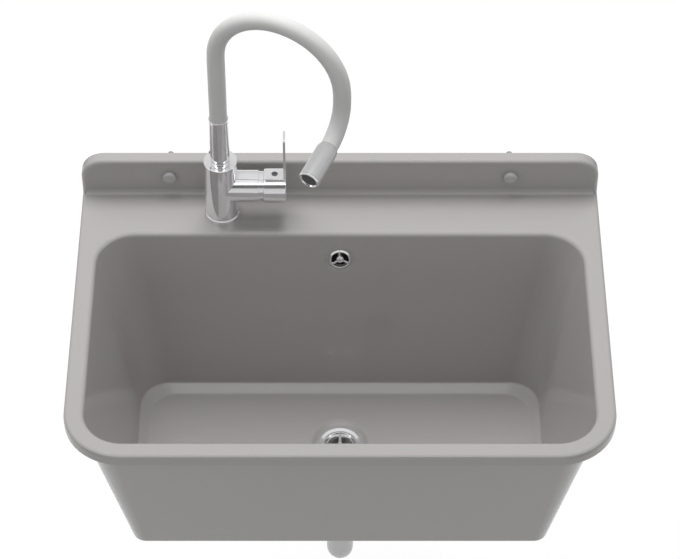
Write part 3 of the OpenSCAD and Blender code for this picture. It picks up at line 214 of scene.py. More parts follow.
def wire_loop(path, radius, sides=14):
    """A round wire bent flat into a closed loop."""
    path = [Vector(p) for p in path]
    up = Vector((0, 0, 1))
    rows = []
    for i, point in enumerate(path):
        ahead = (path[(i + 1) % len(path)] - path[i - 1]).normalized()
        side = ahead.cross(up).normalized()
        rows.append([point + (side * c + up * s) * radius for c, s in circle(sides)])
    return skin(rows)


def bar(stations, edge_r):
    """A strip of rounded section. Each station is (point, width direction, thickness
    direction, half width, half thickness)."""
    rows = []
    for point, wide, thick, half_w, half_t in stations:
        r = min(edge_r, half_w * 0.98, half_t * 0.98)
        section = eased([(half_w, half_t, r), (-half_w, half_t, r),
                         (-half_w, -half_t, r), (half_w, -half_t, r)], 3)
        rows.append([Vector(point) + Vector(wide) * x + Vector(thick) * y
                     for x, y in section])
    return skin(rows, closed=False)


# How many points a rounded rectangle has on each corner, long side and short side
CORNER_STEPS, LONG_STEPS, SHORT_STEPS = 14, 20, 10


def rounded_ring(half_w, front, back, r_front, r_back, z):
    """A rounded rectangle seen from above, always with the same number of points. It
    starts in the middle of the right side."""
    points = []

    def line(a, b, steps):
        points.extend((a[0] + (b[0] - a[0]) * i / steps,
                       a[1] + (b[1] - a[1]) * i / steps, z) for i in range(steps))

    def bend(cx, cy, r, start):
        corner = arc((cx, cy), r, start, start + 90, CORNER_STEPS)
        points.extend((x, y, z) for x, y in corner[:-1])

    mid = (front + back) / 2
    line((half_w, mid), (half_w, back - r_back), SHORT_STEPS // 2)
    bend(half_w - r_back, back - r_back, r_back, 0)
    line((half_w - r_back, back), (-half_w + r_back, back), LONG_STEPS)
    bend(-half_w + r_back, back - r_back, r_back, 90)
    line((-half_w, back - r_back), (-half_w, front + r_front), SHORT_STEPS)
    bend(-half_w + r_front, front + r_front, r_front, 180)
    line((-half_w + r_front, front), (half_w - r_front, front), LONG_STEPS)
    bend(half_w - r_front, front + r_front, r_front, 270)
    line((half_w, front + r_front), (half_w, mid), SHORT_STEPS // 2)
    return points


# Pieces
def linked(name, data):
    made = bpy.data.objects.new(name, data)
    scene.collection.objects.link(made)
    return made


def shape(name, *parts):
    """A mesh object from (skin, place) parts."""
    points, faces = [], []
    for (part_points, part_faces), place in parts:
        base = len(points)
        points += [place @ (Vector(p) * MM) for p in part_points]
        faces += [tuple(base + i for i in face) for face in part_faces]
    mesh = bpy.data.meshes.new(name)
    mesh.from_pydata(points, [], faces)
    work = bmesh.new()
    work.from_mesh(mesh)
    bmesh.ops.remove_doubles(work, verts=work.verts, dist=1e-6)
    bmesh.ops.dissolve_degenerate(work, edges=work.edges, dist=1e-7)
    bmesh.ops.recalc_face_normals(work, faces=work.faces)
    work.to_mesh(mesh)
    work.free()
    return linked(name, mesh)


def settle(piece):
    """Makes the piece's modifiers final."""
    bpy.context.view_layer.update()
    seen = piece.evaluated_get(bpy.context.evaluated_depsgraph_get())
    mesh = bpy.data.meshes.new_from_object(seen)
    piece.modifiers.clear()
    piece.data = mesh


def combine(piece, operation, parts):
    """Cuts one tool made of the parts out of the piece, or adds it."""
    tool = shape(piece.name + "_tool", *parts)
    change = piece.modifiers.new("combine", "BOOLEAN")
    change.operation = operation
    change.solver = "EXACT"
    change.object = tool
    settle(piece)
    bpy.data.objects.remove(tool)


def cut(piece, *parts):
    for part in parts:
        combine(piece, "DIFFERENCE", [part])


def add(piece, *parts):
    for part in parts:
        combine(piece, "UNION", [part])


def soften(piece, width, angle):
    """Rounds a little those edges of the piece that are sharper than the angle."""
    change = piece.modifiers.new("soften", "BEVEL")
    change.width = width * MM
    change.segments = 2
    change.limit_method = "ANGLE"
    change.angle_limit = radians(angle)
    settle(piece)


def place(piece, finish, replaced, body="sink", sharp=35):
    """Shades a piece, gives it its finish, and puts it on its body for its CAD nodes."""
    piece.data.shade_smooth()
    piece.data.set_sharp_from_angle(angle=radians(sharp))
    change = piece.modifiers.new("even_shading", "WEIGHTED_NORMAL")
    change.keep_sharp = True
    change.weight = 80
    settle(piece)
    piece.data.materials.clear()
    piece.data.materials.append(FINISHES[finish])
    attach(piece, body)
    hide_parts(*replaced)


# Finishes
FLOAT, COLOUR = "NodeSocketFloat", "NodeSocketColor"


def new_group(name, build, output, kind=FLOAT, **inputs):
    """A shader group whose one output is what build makes of its inputs."""
    group = bpy.data.node_groups.new(name, "ShaderNodeTree")
    for label, value in inputs.items():
        socket = group.interface.new_socket(
            label.replace("_", " "), in_out="INPUT",
            socket_type=FLOAT if isinstance(value, float) else COLOUR)
        socket.default_value = value
    group.interface.new_socket(output, in_out="OUTPUT", socket_type=kind)
    given = group.nodes.new("NodeGroupInput").outputs
    out = group.nodes.new("NodeGroupOutput").inputs
    group.links.new(build(group, given), out[0])
    return group


def wired(tree, kind, links=(), **settings):
    """A node with its settings, and links of (input name or number, socket or value)."""
    made = tree.nodes.new("ShaderNode" + kind)
    for key, value in settings.items():
        setattr(made, key, value)
    for label, source in links:
        if isinstance(source, bpy.types.NodeSocket):
            tree.links.new(source, made.inputs[label])
        else:
            made.inputs[label].default_value = source
    return made


def calc(tree, operation, *values):
    """The outcome of a Math node, from sockets or numbers."""
    made = wired(tree, "Math", enumerate(values), operation=operation)
    return made.outputs[0]


def spread(tree, value, low, high, *ends):
    """Draws the range from low to high out to 0 to 1, or to the two ends."""
    made = wired(tree, "MapRange", [
        ("Value", value), ("From Min", low), ("From Max", high),
        *zip(("To Min", "To Max"), ends)])
    return made.outputs[0]


def object_space(tree):
    return wired(tree, "TexCoord").outputs["Object"]


def noise(tree, where, size, detail, **more):
    made = wired(tree, "TexNoise", [
        ("Vector", where), ("Scale", size), ("Detail", detail), *more.items()])
    return made.outputs["Fac"]


def mixed(tree, share, colour, other):
    """A mix of two colours. A Mix node has them at inputs 6 and 7, and at output 2."""
    made = wired(tree, "Mix", [("Factor", share), (6, colour), (7, other)],
                 data_type="RGBA")
    return made.outputs[2]


def grain_height(group, given):
    """Fine moulded or cast grain, as a height for bump."""
    where = object_space(group)
    stretch = wired(group, "CombineXYZ", [(0, 1.0), (1, 1.0), (2, given["Stretch"])])
    stretched = wired(group, "VectorMath", [(0, where), (1, stretch.outputs[0])],
                      operation="MULTIPLY")
    return noise(group, stretched.outputs[0], given["Size"], 3.0)


def clouded_colour(group, given):
    """Slow changes between two colours, with small flecks of the second."""
    where, other = object_space(group), given["Other Colour"]
    slow = spread(group, noise(group, where, given["Size"], 4.0), 0.35, 0.65)
    base = mixed(group, calc(group, "MULTIPLY", slow, given["Amount"]), given["Colour"],
                 other)
    fleck = spread(group, noise(group, where, given["Fleck Size"], 1.0), 0.58, 0.66)
    return mixed(group, calc(group, "MULTIPLY", fleck, given["Fleck"]), base, other)


def handled_roughness(group, given):
    """Faint wiped patches: where a surface is a little duller."""
    patches = noise(group, object_space(group), given["Size"], 5.0, Distortion=0.6)
    return spread(group, patches, 0.4, 0.7, given["Polished"], given["Dull"])


def film_share(group, given):
    """A thin film on what faces up, broken up by fine noise."""
    facing = wired(group, "NewGeometry")
    parts = wired(group, "SeparateXYZ", [(0, facing.outputs["Normal"])])
    upward = spread(group, parts.outputs[2], 0.5, 1.0)
    patches = spread(group, noise(group, object_space(group), 60.0, 6.0), 0.42, 0.68)
    film = calc(group, "MULTIPLY", upward, patches)
    return calc(group, "MULTIPLY", film, given["Amount"])


def wear_share(group, given):
    """Where an edge is rubbed: it follows the sharpness of the surface."""
    facing = wired(group, "NewGeometry")
    edge = spread(group, facing.outputs["Pointiness"], 0.52, 0.62)
    patches = noise(group, object_space(group), 200.0, 3.0)
    return calc(group, "MULTIPLY", calc(group, "MULTIPLY", edge, patches),
                given["Amount"])


GRAIN = new_group("fine_grain", grain_height, "Height", Size=900.0, Stretch=1.0)
CLOUDING = new_group("clouding", clouded_colour, "Colour", COLOUR,
                     Colour=(0.5, 0.5, 0.5, 1), Other_Colour=(0.6, 0.6, 0.6, 1),
                     Size=12.0, Amount=0.5, Fleck=0.0, Fleck_Size=1500.0)
HANDLING = new_group("handling", handled_roughness, "Roughness", Polished=0.05, Dull=0.12,
                     Size=30.0)
FILM = new_group("settled_film", film_share, "Film", Amount=0.1)
WEAR = new_group("edge_wear", wear_share, "Wear", Amount=0.4)


def effect(tree, group, output, **values):
    made = wired(tree, "Group", node_tree=group)
    for label, value in values.items():
        made.inputs[label.replace("_", " ")].default_value = value
    return made.outputs[output]


def make_finish(name, colour, other, metal=0.0, polished=0.2, dull=0.3, marks=30.0,
                grain=900.0, stretch=1.0, bump=0.05, bump_mm=0.02, cloud=12.0, amount=0.5,
                fleck=0.0, fleck_size=1500.0, film=0.0, film_colour=(0.75, 0.74, 0.72),
                wear=0.0, worn=(0.8, 0.8, 0.8), **shader):
    """A material from the shared effects. Its colour clouds over to the other colour, and
    its roughness goes from polished to dull. marks, grain, cloud and fleck_size say how
    fine those effects are. shader holds values of the Principled sockets."""
    material = bpy.data.materials.new(name)
    material.use_nodes = True
    tree = material.node_tree
    surface = tree.nodes["Principled BSDF"].inputs
    surface["Metallic"].default_value = metal
    for label, value in shader.items():
        surface[label.replace("_", " ")].default_value = value
    shade = effect(tree, CLOUDING, "Colour", Colour=(*colour, 1),
                   Other_Colour=(*other, 1), Size=cloud, Amount=amount, Fleck=fleck,
                   Fleck_Size=fleck_size)
    if wear:
        shade = mixed(tree, effect(tree, WEAR, "Wear", Amount=wear), shade, (*worn, 1))
    if film:
        shade = mixed(tree, effect(tree, FILM, "Film", Amount=film), shade,
                      (*film_colour, 1))
    tree.links.new(shade, surface["Base Color"])
    rough = effect(tree, HANDLING, "Roughness", Polished=polished, Dull=dull, Size=marks)
    tree.links.new(rough, surface["Roughness"])
    height = effect(tree, GRAIN, "Height", Size=grain, Stretch=stretch)
    raised = wired(tree, "Bump", [("Strength", bump), ("Distance", bump_mm * MM),
                                  ("Height", height)])
    tree.links.new(raised.outputs["Normal"], surface["Normal"])
    return material


LOOKS = {
    "basin_plastic": dict(
        colour=(0.380, 0.367, 0.360), other=(0.398, 0.385, 0.378), polished=0.24,
        dull=0.27, grain=1400, bump=0.12, bump_mm=0.01, cloud=3, amount=0.12, fleck=0.22,
        fleck_size=1300, marks=6, Coat_Weight=0.4, Coat_Roughness=0.08),
    "cap_plastic": dict(
        colour=(0.40, 0.40, 0.40), other=(0.45, 0.45, 0.445), polished=0.16, dull=0.24,
        grain=2200, bump=0.15, cloud=120, fleck=0.2, Coat_Weight=0.3),
    "zinc_steel": dict(
        colour=(0.62, 0.63, 0.64), other=(0.50, 0.51, 0.53), metal=1.0, polished=0.26,
        dull=0.42, grain=700, bump=0.3, cloud=140, amount=0.8),
    "chrome": dict(
        colour=(0.86, 0.86, 0.87), other=(0.80, 0.80, 0.82), metal=0.8, polished=0.03,
        dull=0.07, grain=350, bump=0.04, bump_mm=0.01, cloud=40, marks=45),
    "dark_screw": dict(
        colour=(0.16, 0.16, 0.17), other=(0.26, 0.26, 0.27), metal=1.0, polished=0.22,
        dull=0.36, grain=2500, bump=0.3, cloud=300, amount=0.7, wear=0.5),
    "black_rubber": dict(
        colour=(0.018, 0.018, 0.019), other=(0.035, 0.035, 0.037), polished=0.38,
        dull=0.55, grain=1800, bump=0.4, cloud=60, amount=0.7, film=0.12,
        film_colour=(0.15, 0.15, 0.15)),
    "green_rubber": dict(
        colour=(0.36, 0.42, 0.16), other=(0.44, 0.49, 0.23), polished=0.45, dull=0.6,
        grain=1800, bump=0.35, cloud=90, amount=0.7),
    "dark_plastic": dict(
        colour=(0.10, 0.102, 0.108), other=(0.135, 0.137, 0.142), polished=0.3, dull=0.44,
        grain=1500, bump=0.35, cloud=50, amount=0.6, wear=0.3, worn=(0.22, 0.22, 0.23)),
    "white_plastic": dict(
        colour=(0.87, 0.87, 0.86), other=(0.82, 0.82, 0.815), polished=0.26, dull=0.36,
        grain=1300, bump=0.2, cloud=26, amount=0.4, Subsurface_Weight=0.12,
        Subsurface_Scale=0.002),
    "brass": dict(
        colour=(0.78, 0.60, 0.30), other=(0.68, 0.50, 0.24), metal=1.0, polished=0.2,
        dull=0.34, grain=500, stretch=12.0, bump=0.3, cloud=120, amount=0.8),
    "ceramic": dict(
        colour=(0.88, 0.88, 0.86), other=(0.82, 0.82, 0.80), polished=0.12, dull=0.2,
        grain=2600, bump=0.1, cloud=200),
    "silicone_hose": dict(
        colour=(0.64, 0.64, 0.635), other=(0.68, 0.68, 0.675), polished=0.42,
        dull=0.52, grain=1700, bump=0.3, cloud=22, film=0.03, Sheen_Weight=0.03,
        Sheen_Roughness=0.5),
    "head_plastic": dict(
        colour=(0.50, 0.50, 0.505), other=(0.55, 0.55, 0.555), metal=0.3, dull=0.28,
        grain=1600, bump=0.12, cloud=70),
}
FINISHES = {name: make_finish(name, **look) for name, look in LOOKS.items()}


def make_piece(name, finish, node, *parts, body="sink", sharp=35):
    place(shape(name, *parts), finish, [node], body, sharp)


# The basin
BACK_Y = -0.02
LIP_Z, BACK_LIP_Z = -17, -4.4
WALL_TOP, SLOPE_TOP, SLOPE_FOOT = -6.46, -265.5, 66
OUTSIDE_TOP, OUTSIDE_H, OUTSIDE_INSET = -8.5, 278, 54.82


def mouth_ring(grow, z, corner_r=None):
    """The bowl's mouth, grown outwards, at a height."""
    r = MOUTH_CORNER_R + grow if corner_r is None else corner_r
    return rounded_ring(MOUTH_HALF_W + grow, MOUTH_FRONT - grow, MOUTH_BACK + grow,
                        r, r, z)


def outer_ring(inset, z, back_z=None):
    """The rim's outer edge. Its back side lies on the wall and has no lip."""
    points = rounded_ring(SINK_HALF_W - inset, SINK_FRONT + inset, BACK_Y,
                          SINK_CORNER_R - inset, 0.6, z)
    if back_z is None:
        return points
    return [(x, y, back_z if y > -0.7 else z) for x, y, z in points]


def drain_ring(radius, z):
    """A circle round the drain, with as many points as the rings of the bowl."""
    return [(x, DRAIN_Y + y, z) for x, y, z in ring(radius, z, len(mouth_ring(0, 0)))]


def wall_inset(z):
    """How far the bowl's wall has come in from the mouth at a height."""
    return (WALL_TOP - z) * tan(radians(DRAFT))


def rim_and_bowl_rows():
    """From the lip's lower edge over the rim, down the wall and down its slope."""
    rows = [outer_ring(0, LIP_Z, BACK_LIP_Z)]
    rows += [outer_ring(EDGE_R - x, y - EDGE_R, BACK_LIP_Z if y < 1 else None)
             for x, y in arc((0, 0), EDGE_R, 0, 90, 6)]
    rows += [mouth_ring(14, 0)]
    rows += [mouth_ring(MOUTH_ROUND - MOUTH_ROUND * s, -MOUTH_ROUND + MOUTH_ROUND * c)
             for c, s in [unit((90 - DRAFT) * i / 9) for i in range(10)]]
    rows += [mouth_ring(-wall_inset(z), z, MOUTH_CORNER_R - 8 * wall_inset(z) / 50)
             for z in (-40, -90, -150, -210, -246)]
    slope = eased([(wall_inset(-230), -230), (wall_inset(SLOPE_TOP), SLOPE_TOP, 6),
                   (SLOPE_FOOT, FLOOR_Z, 6), (90, FLOOR_Z)], 6)[1:-1]
    return rows + [mouth_ring(-x, z, 46 - max(0, x - 50) * 0.5) for x, z in slope]


def drain_rows():
    """The drain's dimple and hole, and the boss round it under the floor."""
    return [drain_ring(r, z) for r, z in [
        (48, FLOOR_Z), (45, -276.05), (43, -276.4), (41.2, -277.2), (39.4, -278.5),
        (37.6, -279.9), (36, -281.1), (34.6, -281.8), (DRAIN_R, DRAIN_Z), (27, DRAIN_Z),
        (26.2, -282.4), (26, -283), (26, FOOT_Z), (45, FOOT_Z), (45, FLOOR_Z - WALL_T)]]


def underside_rows():
    """The hollow under the floor, the foot round it, the walls' outside, and the rim's
    underside out to the lip."""
    rows = [mouth_ring(grow, z, 20) for grow, z in [
        (-60, FLOOR_Z - WALL_T), (-57, -280.7), (-56, -281.6), (-55.4, -285.4),
        (-54.8, FOOT_Z), (-52.6, FOOT_Z), (-51, -286.1), (-50.2, -285.2)]]
    for z in (-283.5, -240, -180, -120, -60, OUTSIDE_TOP):
        fall = OUTSIDE_TOP - z
        rows.append(mouth_ring(WALL_T - OUTSIDE_INSET * fall / OUTSIDE_H, z,
                               44 - 24 * fall / OUTSIDE_H))
    rows += [mouth_ring(grow, z, r) for grow, z, r in
             ((WALL_T, -6, 44), (4.9, -5, 44.4), (5.9, -WALL_T, 45.4))]
    rows += [outer_ring(EDGE_R, -WALL_T)]
    rows += [outer_ring(EDGE_R - x, y - EDGE_R, -WALL_T)
             for x, y in arc((0, 0), EDGE_R - WALL_T, 90, 0, 3)]
    return rows + [outer_ring(WALL_T, LIP_Z, -WALL_T)]


def upstand_row(inset, y):
    side, top, corner_r = SINK_HALF_W - inset, UPSTAND_H - inset, UPSTAND_CORNER_R - inset
    outline = [(-side, -6), (side, -6), (side, top, corner_r), (-side, top, corner_r)]
    return [(x, y, z) for x, z in eased(outline, 20)]


def make_basin():
    piece = shape("basin_moulding",
                  (skin(rim_and_bowl_rows() + drain_rows() + underside_rows()), DECK))

    # the upstand, open to the wall, and the cove between it and the deck
    behind_edge = UPSTAND_FRONT + EDGE_R
    upstand = [upstand_row(EDGE_R - x, behind_edge - y)
               for x, y in arc((0, 0), EDGE_R, 90, 0, 6)]
    upstand += [upstand_row(inset, y) for inset, y in
                ((0, BACK_Y), (WALL_T, BACK_Y), (WALL_T, behind_edge),
                 (EDGE_R, behind_edge - 1))]
    cove_y = UPSTAND_FRONT - COVE_R
    cove = [(UPSTAND_FRONT + 1, -1), (UPSTAND_FRONT + 1, COVE_R)]
    cove += arc((cove_y, COVE_R), COVE_R, 0, -90, 8) + [(cove_y, -1)]
    cove_ends = [[(x, y, z) for y, z in cove] for x in (-369.6, 369.6)]
    add(piece, (skin(upstand, closed=False), DECK), (skin(cove_ends, closed=False), DECK))

    # the bosses and stepped holes of the fixings
    for hole in FIXINGS:
        add(piece, (rod(9, -17.98, -4), hole))
        cut(piece, (turned([(0, 1), (4.3, 1), (4.3, -6.5), (6.5, -6.5), (6.5, -19),
                            (0, -19)]), hole))

    # the overflow's pad, its dish and hole, and the tap's hole
    add(piece, (rod(24, -6.5, -2), OVERFLOW))
    dish = [(17.3 + 5.4 * t, -2 + 2 * (3 * t * t - 2 * t ** 3)) for t in steps_to_one(8)]
    cut(piece, (turned([(0, 6), (0, -2)] + dish + [(23, 6)], 96), OVERFLOW),
        (rod(13, -8, 2), OVERFLOW), (rod(17.5, -8, 2, 64), TAP))
    place(piece, "basin_plastic", ["basin"], sharp=50)


# Small fittings on the basin
SCREW_R = 2.5


def make_screw(name, where, finish, node, top_r, edge_r, head_h, dome, bars, bar_l,
               bar_w, depth, shaft_l, body="sink"):
    """A screw with its head's top at z = 0. The recess is one bar, or two crossed."""
    profile = [(0, 0)] + [(top_r * t, -dome * t * t) for t in (0.35, 0.6, 0.8, 1)]
    profile += [(edge_r, -dome - 0.4), (edge_r, -head_h), (SCREW_R, -head_h),
                (SCREW_R, -head_h - shaft_l), (0, -head_h - shaft_l)]
    piece = shape(name, (turned(profile, 40), where))
    recess = block((-bar_l / 2, -bar_w / 2, -depth), (bar_l / 2, bar_w / 2, 1))
    cut(piece, *[(recess, where @ turn(90 * i, "Z")) for i in range(bars)])
    place(piece, finish, [node], body, sharp=30)


def make_screw_caps():
    dome_r = 20
    cap = [(0, 6.4), (8.6, 6.4), (8.9, 6.0), (8.9, 0), (9.8, 0), (10, 0.3), (10, 4.8),
           (9.8, 5.4), (9.3, 5.9)]
    cap += [(r, sqrt(dome_r ** 2 - r * r) - 11.5) for r in (8.6, 7, 5, 3, 1.2)]
    cap += [(0, 8.5)]
    make_piece("screw_cap_pair", "cap_plastic", "screw_caps",
               *[(turned(cap, 56), hole) for hole in FIXINGS])


def make_overflow_rosette():
    seat = OVERFLOW @ shift(0, 0, -2)
    rim = eased([(12.6, 0, 0.3), (16, 0, 0.4), (16, 1.1, 0.6), (14.6, 3, 0.9),
                 (12.9, 3, 0.5)])
    hub = [(2.7, 0), (5.2, 0), (5.6, 0.8), (5.2, 2), (4.4, 2.5), (2.7, 2.5)]
    # a spoke runs from the hub to the rim, rises in the middle and widens at its ends
    spoke = [((4.3 + 9.4 * t, 0.9 * sin(pi * t), 1.15 + 0.75 * sin(pi * t)), (0, 1, 0),
              (0, 0, 1), 1.25 + 1.5 * (2 * t - 1) ** 4, 0.75) for t in steps_to_one(10)]
    make_piece("overflow_grille", "chrome", "overflow_rosette",
               (turned(rim, 72), seat), (turned(hub, 48), seat),
               *[(bar(spoke, 0.6), seat @ turn(a, "Z")) for a in (90, 210, 330)])
    make_screw("overflow_grille_screw", OVERFLOW @ shift(0, 0, 2.3), "chrome",
               "overflow_screw", top_r=3.6, edge_r=4.2, head_h=1.8, dome=0.7, bars=2,
               bar_l=5.2, bar_w=0.9, depth=1.2, shaft_l=24)


def make_strainer():
    rim = eased([(19, -4), (22.4, -4, 0.8), (23, -0.2), (23.4, 0), (32.4, 0, 0.2),
                 (33, 0.8, 0.5), (32.2, 2.5, 0.7), (30.2, 2.5, 0.6), (25.4, 0.75, 0.8),
                 (24.4, 1.7, 0.5), (22.6, 1.7, 0.6), (20.6, -2.1, 0.4), (19, -2.1, 0.2)])
    hub = [(2.65, -4), (5.6, -4), (6.2, -3.4), (6.2, -2.6), (5.4, -2), (2.65, -2)]
    spoke = [((4.5 + 16.5 * t, 0, -2.75 + 0.35 * t), (0, 1, 0), (0, 0, 1),
              2 + 0.9 * (2 * t - 1) ** 4, 1.1) for t in steps_to_one(8)]
    make_piece("strainer_flange", "chrome", "drain_strainer",
               (turned(rim, 96), DRAIN), (turned(hub, 48), DRAIN),
               *[(bar(spoke, 0.7), DRAIN @ turn(90 * i, "Z")) for i in range(4)])
    make_screw("strainer_screw", DRAIN @ shift(0, 0, 0.2), "chrome",
               "drain_screw", top_r=4.2, edge_r=5, head_h=2.2, dome=0.5, bars=1,
               bar_l=8.4, bar_w=1.2, depth=1.1, shaft_l=24)


def make_plug():
    disc = eased([(0, 0), (18.5, 0, 1), (20.6, 2.2, 0.6), (23.2, 5.2, 0.8),
                  (25, 5.6, 0.5), (25, 8.2, 0.8), (23.4, 9, 0.5), (21.6, 8.2, 0.6),
                  (8, 7.4, 2), (5, 9, 1.4), (0, 9)])
    eye = bar([((0, 0, z), (1, 0, 0), (0, 1, 0), half_w, 1) for z, half_w in
               ((8.6, 3.4), (9.6, 3.1), (11.5, 3.0), (13.6, 2.9), (14.9, 2.2),
                (15.6, 1.2))], 0.5)
    piece = shape("plug_disc", (turned(disc, 80), PLUG), (eye, PLUG))
    pivot = PLUG @ shift(0, 0, PLUG_RING_Z)
    cut(piece, (rod(1.0, -6, 6, 24), pivot @ turn(90, "X")))
    place(piece, "black_rubber", ["plug_body"], "plug")

    # the pull ring is narrower at the eye, and rests on the disc's rim
    loop_r, loop_tilt = 13, 5.077
    loop = [(loop_r * (1 - c), loop_r * s * (0.62 + 0.38 * (1 - c) / 2) * 1.06, 0)
            for c, s in circle(72)]
    make_piece("plug_pull_loop", "zinc_steel", "plug_ring",
               (wire_loop(loop, 0.9), pivot @ turn(loop_tilt, "Y")), body="plug_ring")


# The tap
def make_tap_body():
    column = eased([(0, 1), (21, 1), (21, 7), (COLUMN_R, 7, 0.5),
                    (COLUMN_R, COLUMN_H, 1.3), (14, COLUMN_H, 0.3), (14, 111, 0.6),
                    (0, 111)])
    arm = eased([(0, 0), (ARM_R, 0), (ARM_R, ARM_L, 0.8), (0, ARM_L)])
    piece = shape("tap_column", (turned(column, 112), TAP))
    add(piece, (turned(arm, 112), CARTRIDGE))
    # seats of the cartridge and the spout, the waterways, two inlets, and the stud's hole
    cut(piece, (rod(17.65, 24, 55, 72), CARTRIDGE), (rod(11.05, 81, 112, 64), TAP),
        (rod(5, ARM_Z, 82, 32), TAP), (rod(5, 0, 25, 32), CARTRIDGE),
        *[(rod(4.6, 0.5, 15, 32), TAP @ shift(0, y, 0)) for y in (9, -9)],
        (rod(4.05, 0.5, 16, 32), TAP @ shift(-11.5, 0, 0)))
    place(piece, "chrome", ["tap_body"], sharp=30)
    collar = eased([(21.15, 0), (25.25, 0, 0.4), (25.25, 5.6, 0.9), (24.5, 7, 0.4),
                    (21.15, 7)])
    make_piece("tap_foot_ring", "chrome", "tap_base_ring",
               (turned(collar, 112), TAP), sharp=30)


def make_hub():
    hub_r, hub_low, hub_top = 24.5, 61, 93
    ball_r, ball_z = 22, 57
    drum = eased([(0, hub_low), (hub_r, hub_low, 0.7), (hub_r, hub_top, 1.5),
                  (0, hub_top)], 5)
    hub = shape("lever_hub", (turned(drum, 112), CARTRIDGE))
    ball = arc((0, ball_z), ball_r, -90, 90, 30)
    # its round hollow, the stem's hole, the lever's flat, room below, the screw's hole
    cut(hub, (turned(ball, 80), CARTRIDGE),
        (block((-4.15, -4.15, 57), (4.15, 4.15, 85.1)), CARTRIDGE),
        (block((-30, -25, 64), (-20.5, 25, 95)), CARTRIDGE),
        (block((13, -25, 60), (26, 25, 66.5)), CARTRIDGE),
        (rod(2.65, -25, -11, 28), CARTRIDGE @ shift(0, 0, LEVER_SCREW_Z) @ turn(90, "Y")))
    soften(hub, 0.35, 50)
    place(hub, "chrome", ["handle_hub"], "handle", sharp=30)


def make_lever():
    """The plate: a tongue on the hub's flat, a tight bend, and the lever."""
    half_w, bend_r, tip_r = 11.5, 2.5, 4
    bend_x, bend_z = -24.75, 88.75

    def station(x, z, thick=(0, 0, 1), half_w=half_w):
        return (x, 0, z), (0, 1, 0), thick, half_w, 1.74

    stations = [station(bend_x + bend_r, 64 + 1.5 * i, (1, 0, 0)) for i in range(16)]
    stations += [station(bend_x + bend_r * c, bend_z + bend_r * s, (c, 0, s))
                 for c, s in map(unit, range(15, 91, 15))]
    lever_z = bend_z + bend_r
    stations += [station(x, lever_z) for x in (-30, -45, -60, -75, -88, -94)]
    stations += [station(-96 - tip_r * s, lever_z, half_w=half_w - tip_r + tip_r * c)
                 for c, s in map(unit, range(0, 91, 15))]
    lever = shape("lever_plate", (bar(stations, 0.7), CARTRIDGE))
    seat = CARTRIDGE @ shift(-24, 0, LEVER_SCREW_Z) @ turn(90, "Y")
    cut(lever, (turned([(0, -1), (5.2, -1), (4.7, 0.4), (4.7, 2), (2.65, 2), (2.65, 5),
                        (0, 5)], 48), seat))
    place(lever, "chrome", ["lever_blade"], "handle", sharp=30)
    make_screw("lever_plate_screw", seat @ turn(180, "Y"), "dark_screw", "lever_screw",
               top_r=3.7, edge_r=4.3, head_h=2, dome=0.3, bars=2, bar_l=5.2, bar_w=0.95,
               depth=1.3, shaft_l=11, body="handle")


def hose_path():
    """The hose's middle line from the sleeve into the head, evened out at its bends."""
    def at(where, x, z):
        return where @ Vector((x * MM, 0, z * MM)) / MM

    line = [at(TAP, 0, HOSE_START + (RISE_TOP - HOSE_START) * i / 30) for i in range(30)]
    quarter = [unit(a) for a in range(0, 90, 3)]
    line += [at(ARCH, ARCH_UP_R - ARCH_UP_R * c, RISE_TOP + ARCH_UP_R * s)
             for c, s in quarter]
    line += [at(ARCH, ARCH_UP_R + ARCH_DOWN_R * s, DROP_TOP + ARCH_DOWN_R * c)
             for c, s in quarter]
    line += [at(ARCH, ARCH_REACH, DROP_TOP - 5 * i) for i in range(4)]
    line += [at(CURL, CURL_R - CURL_R * c, -CURL_R * s)
             for c, s in map(unit, range(0, CURL_ANGLE + 1, 4))]
    line += [at(HEAD, 0, HOSE_IN_HEAD * i / 4) for i in range(1, 5)]
    for _ in range(6):
        line = [line[0]] + [(a + b * 2 + c) / 4 for a, b, c in
                            zip(line, line[1:], line[2:])] + [line[-1]]
    return line


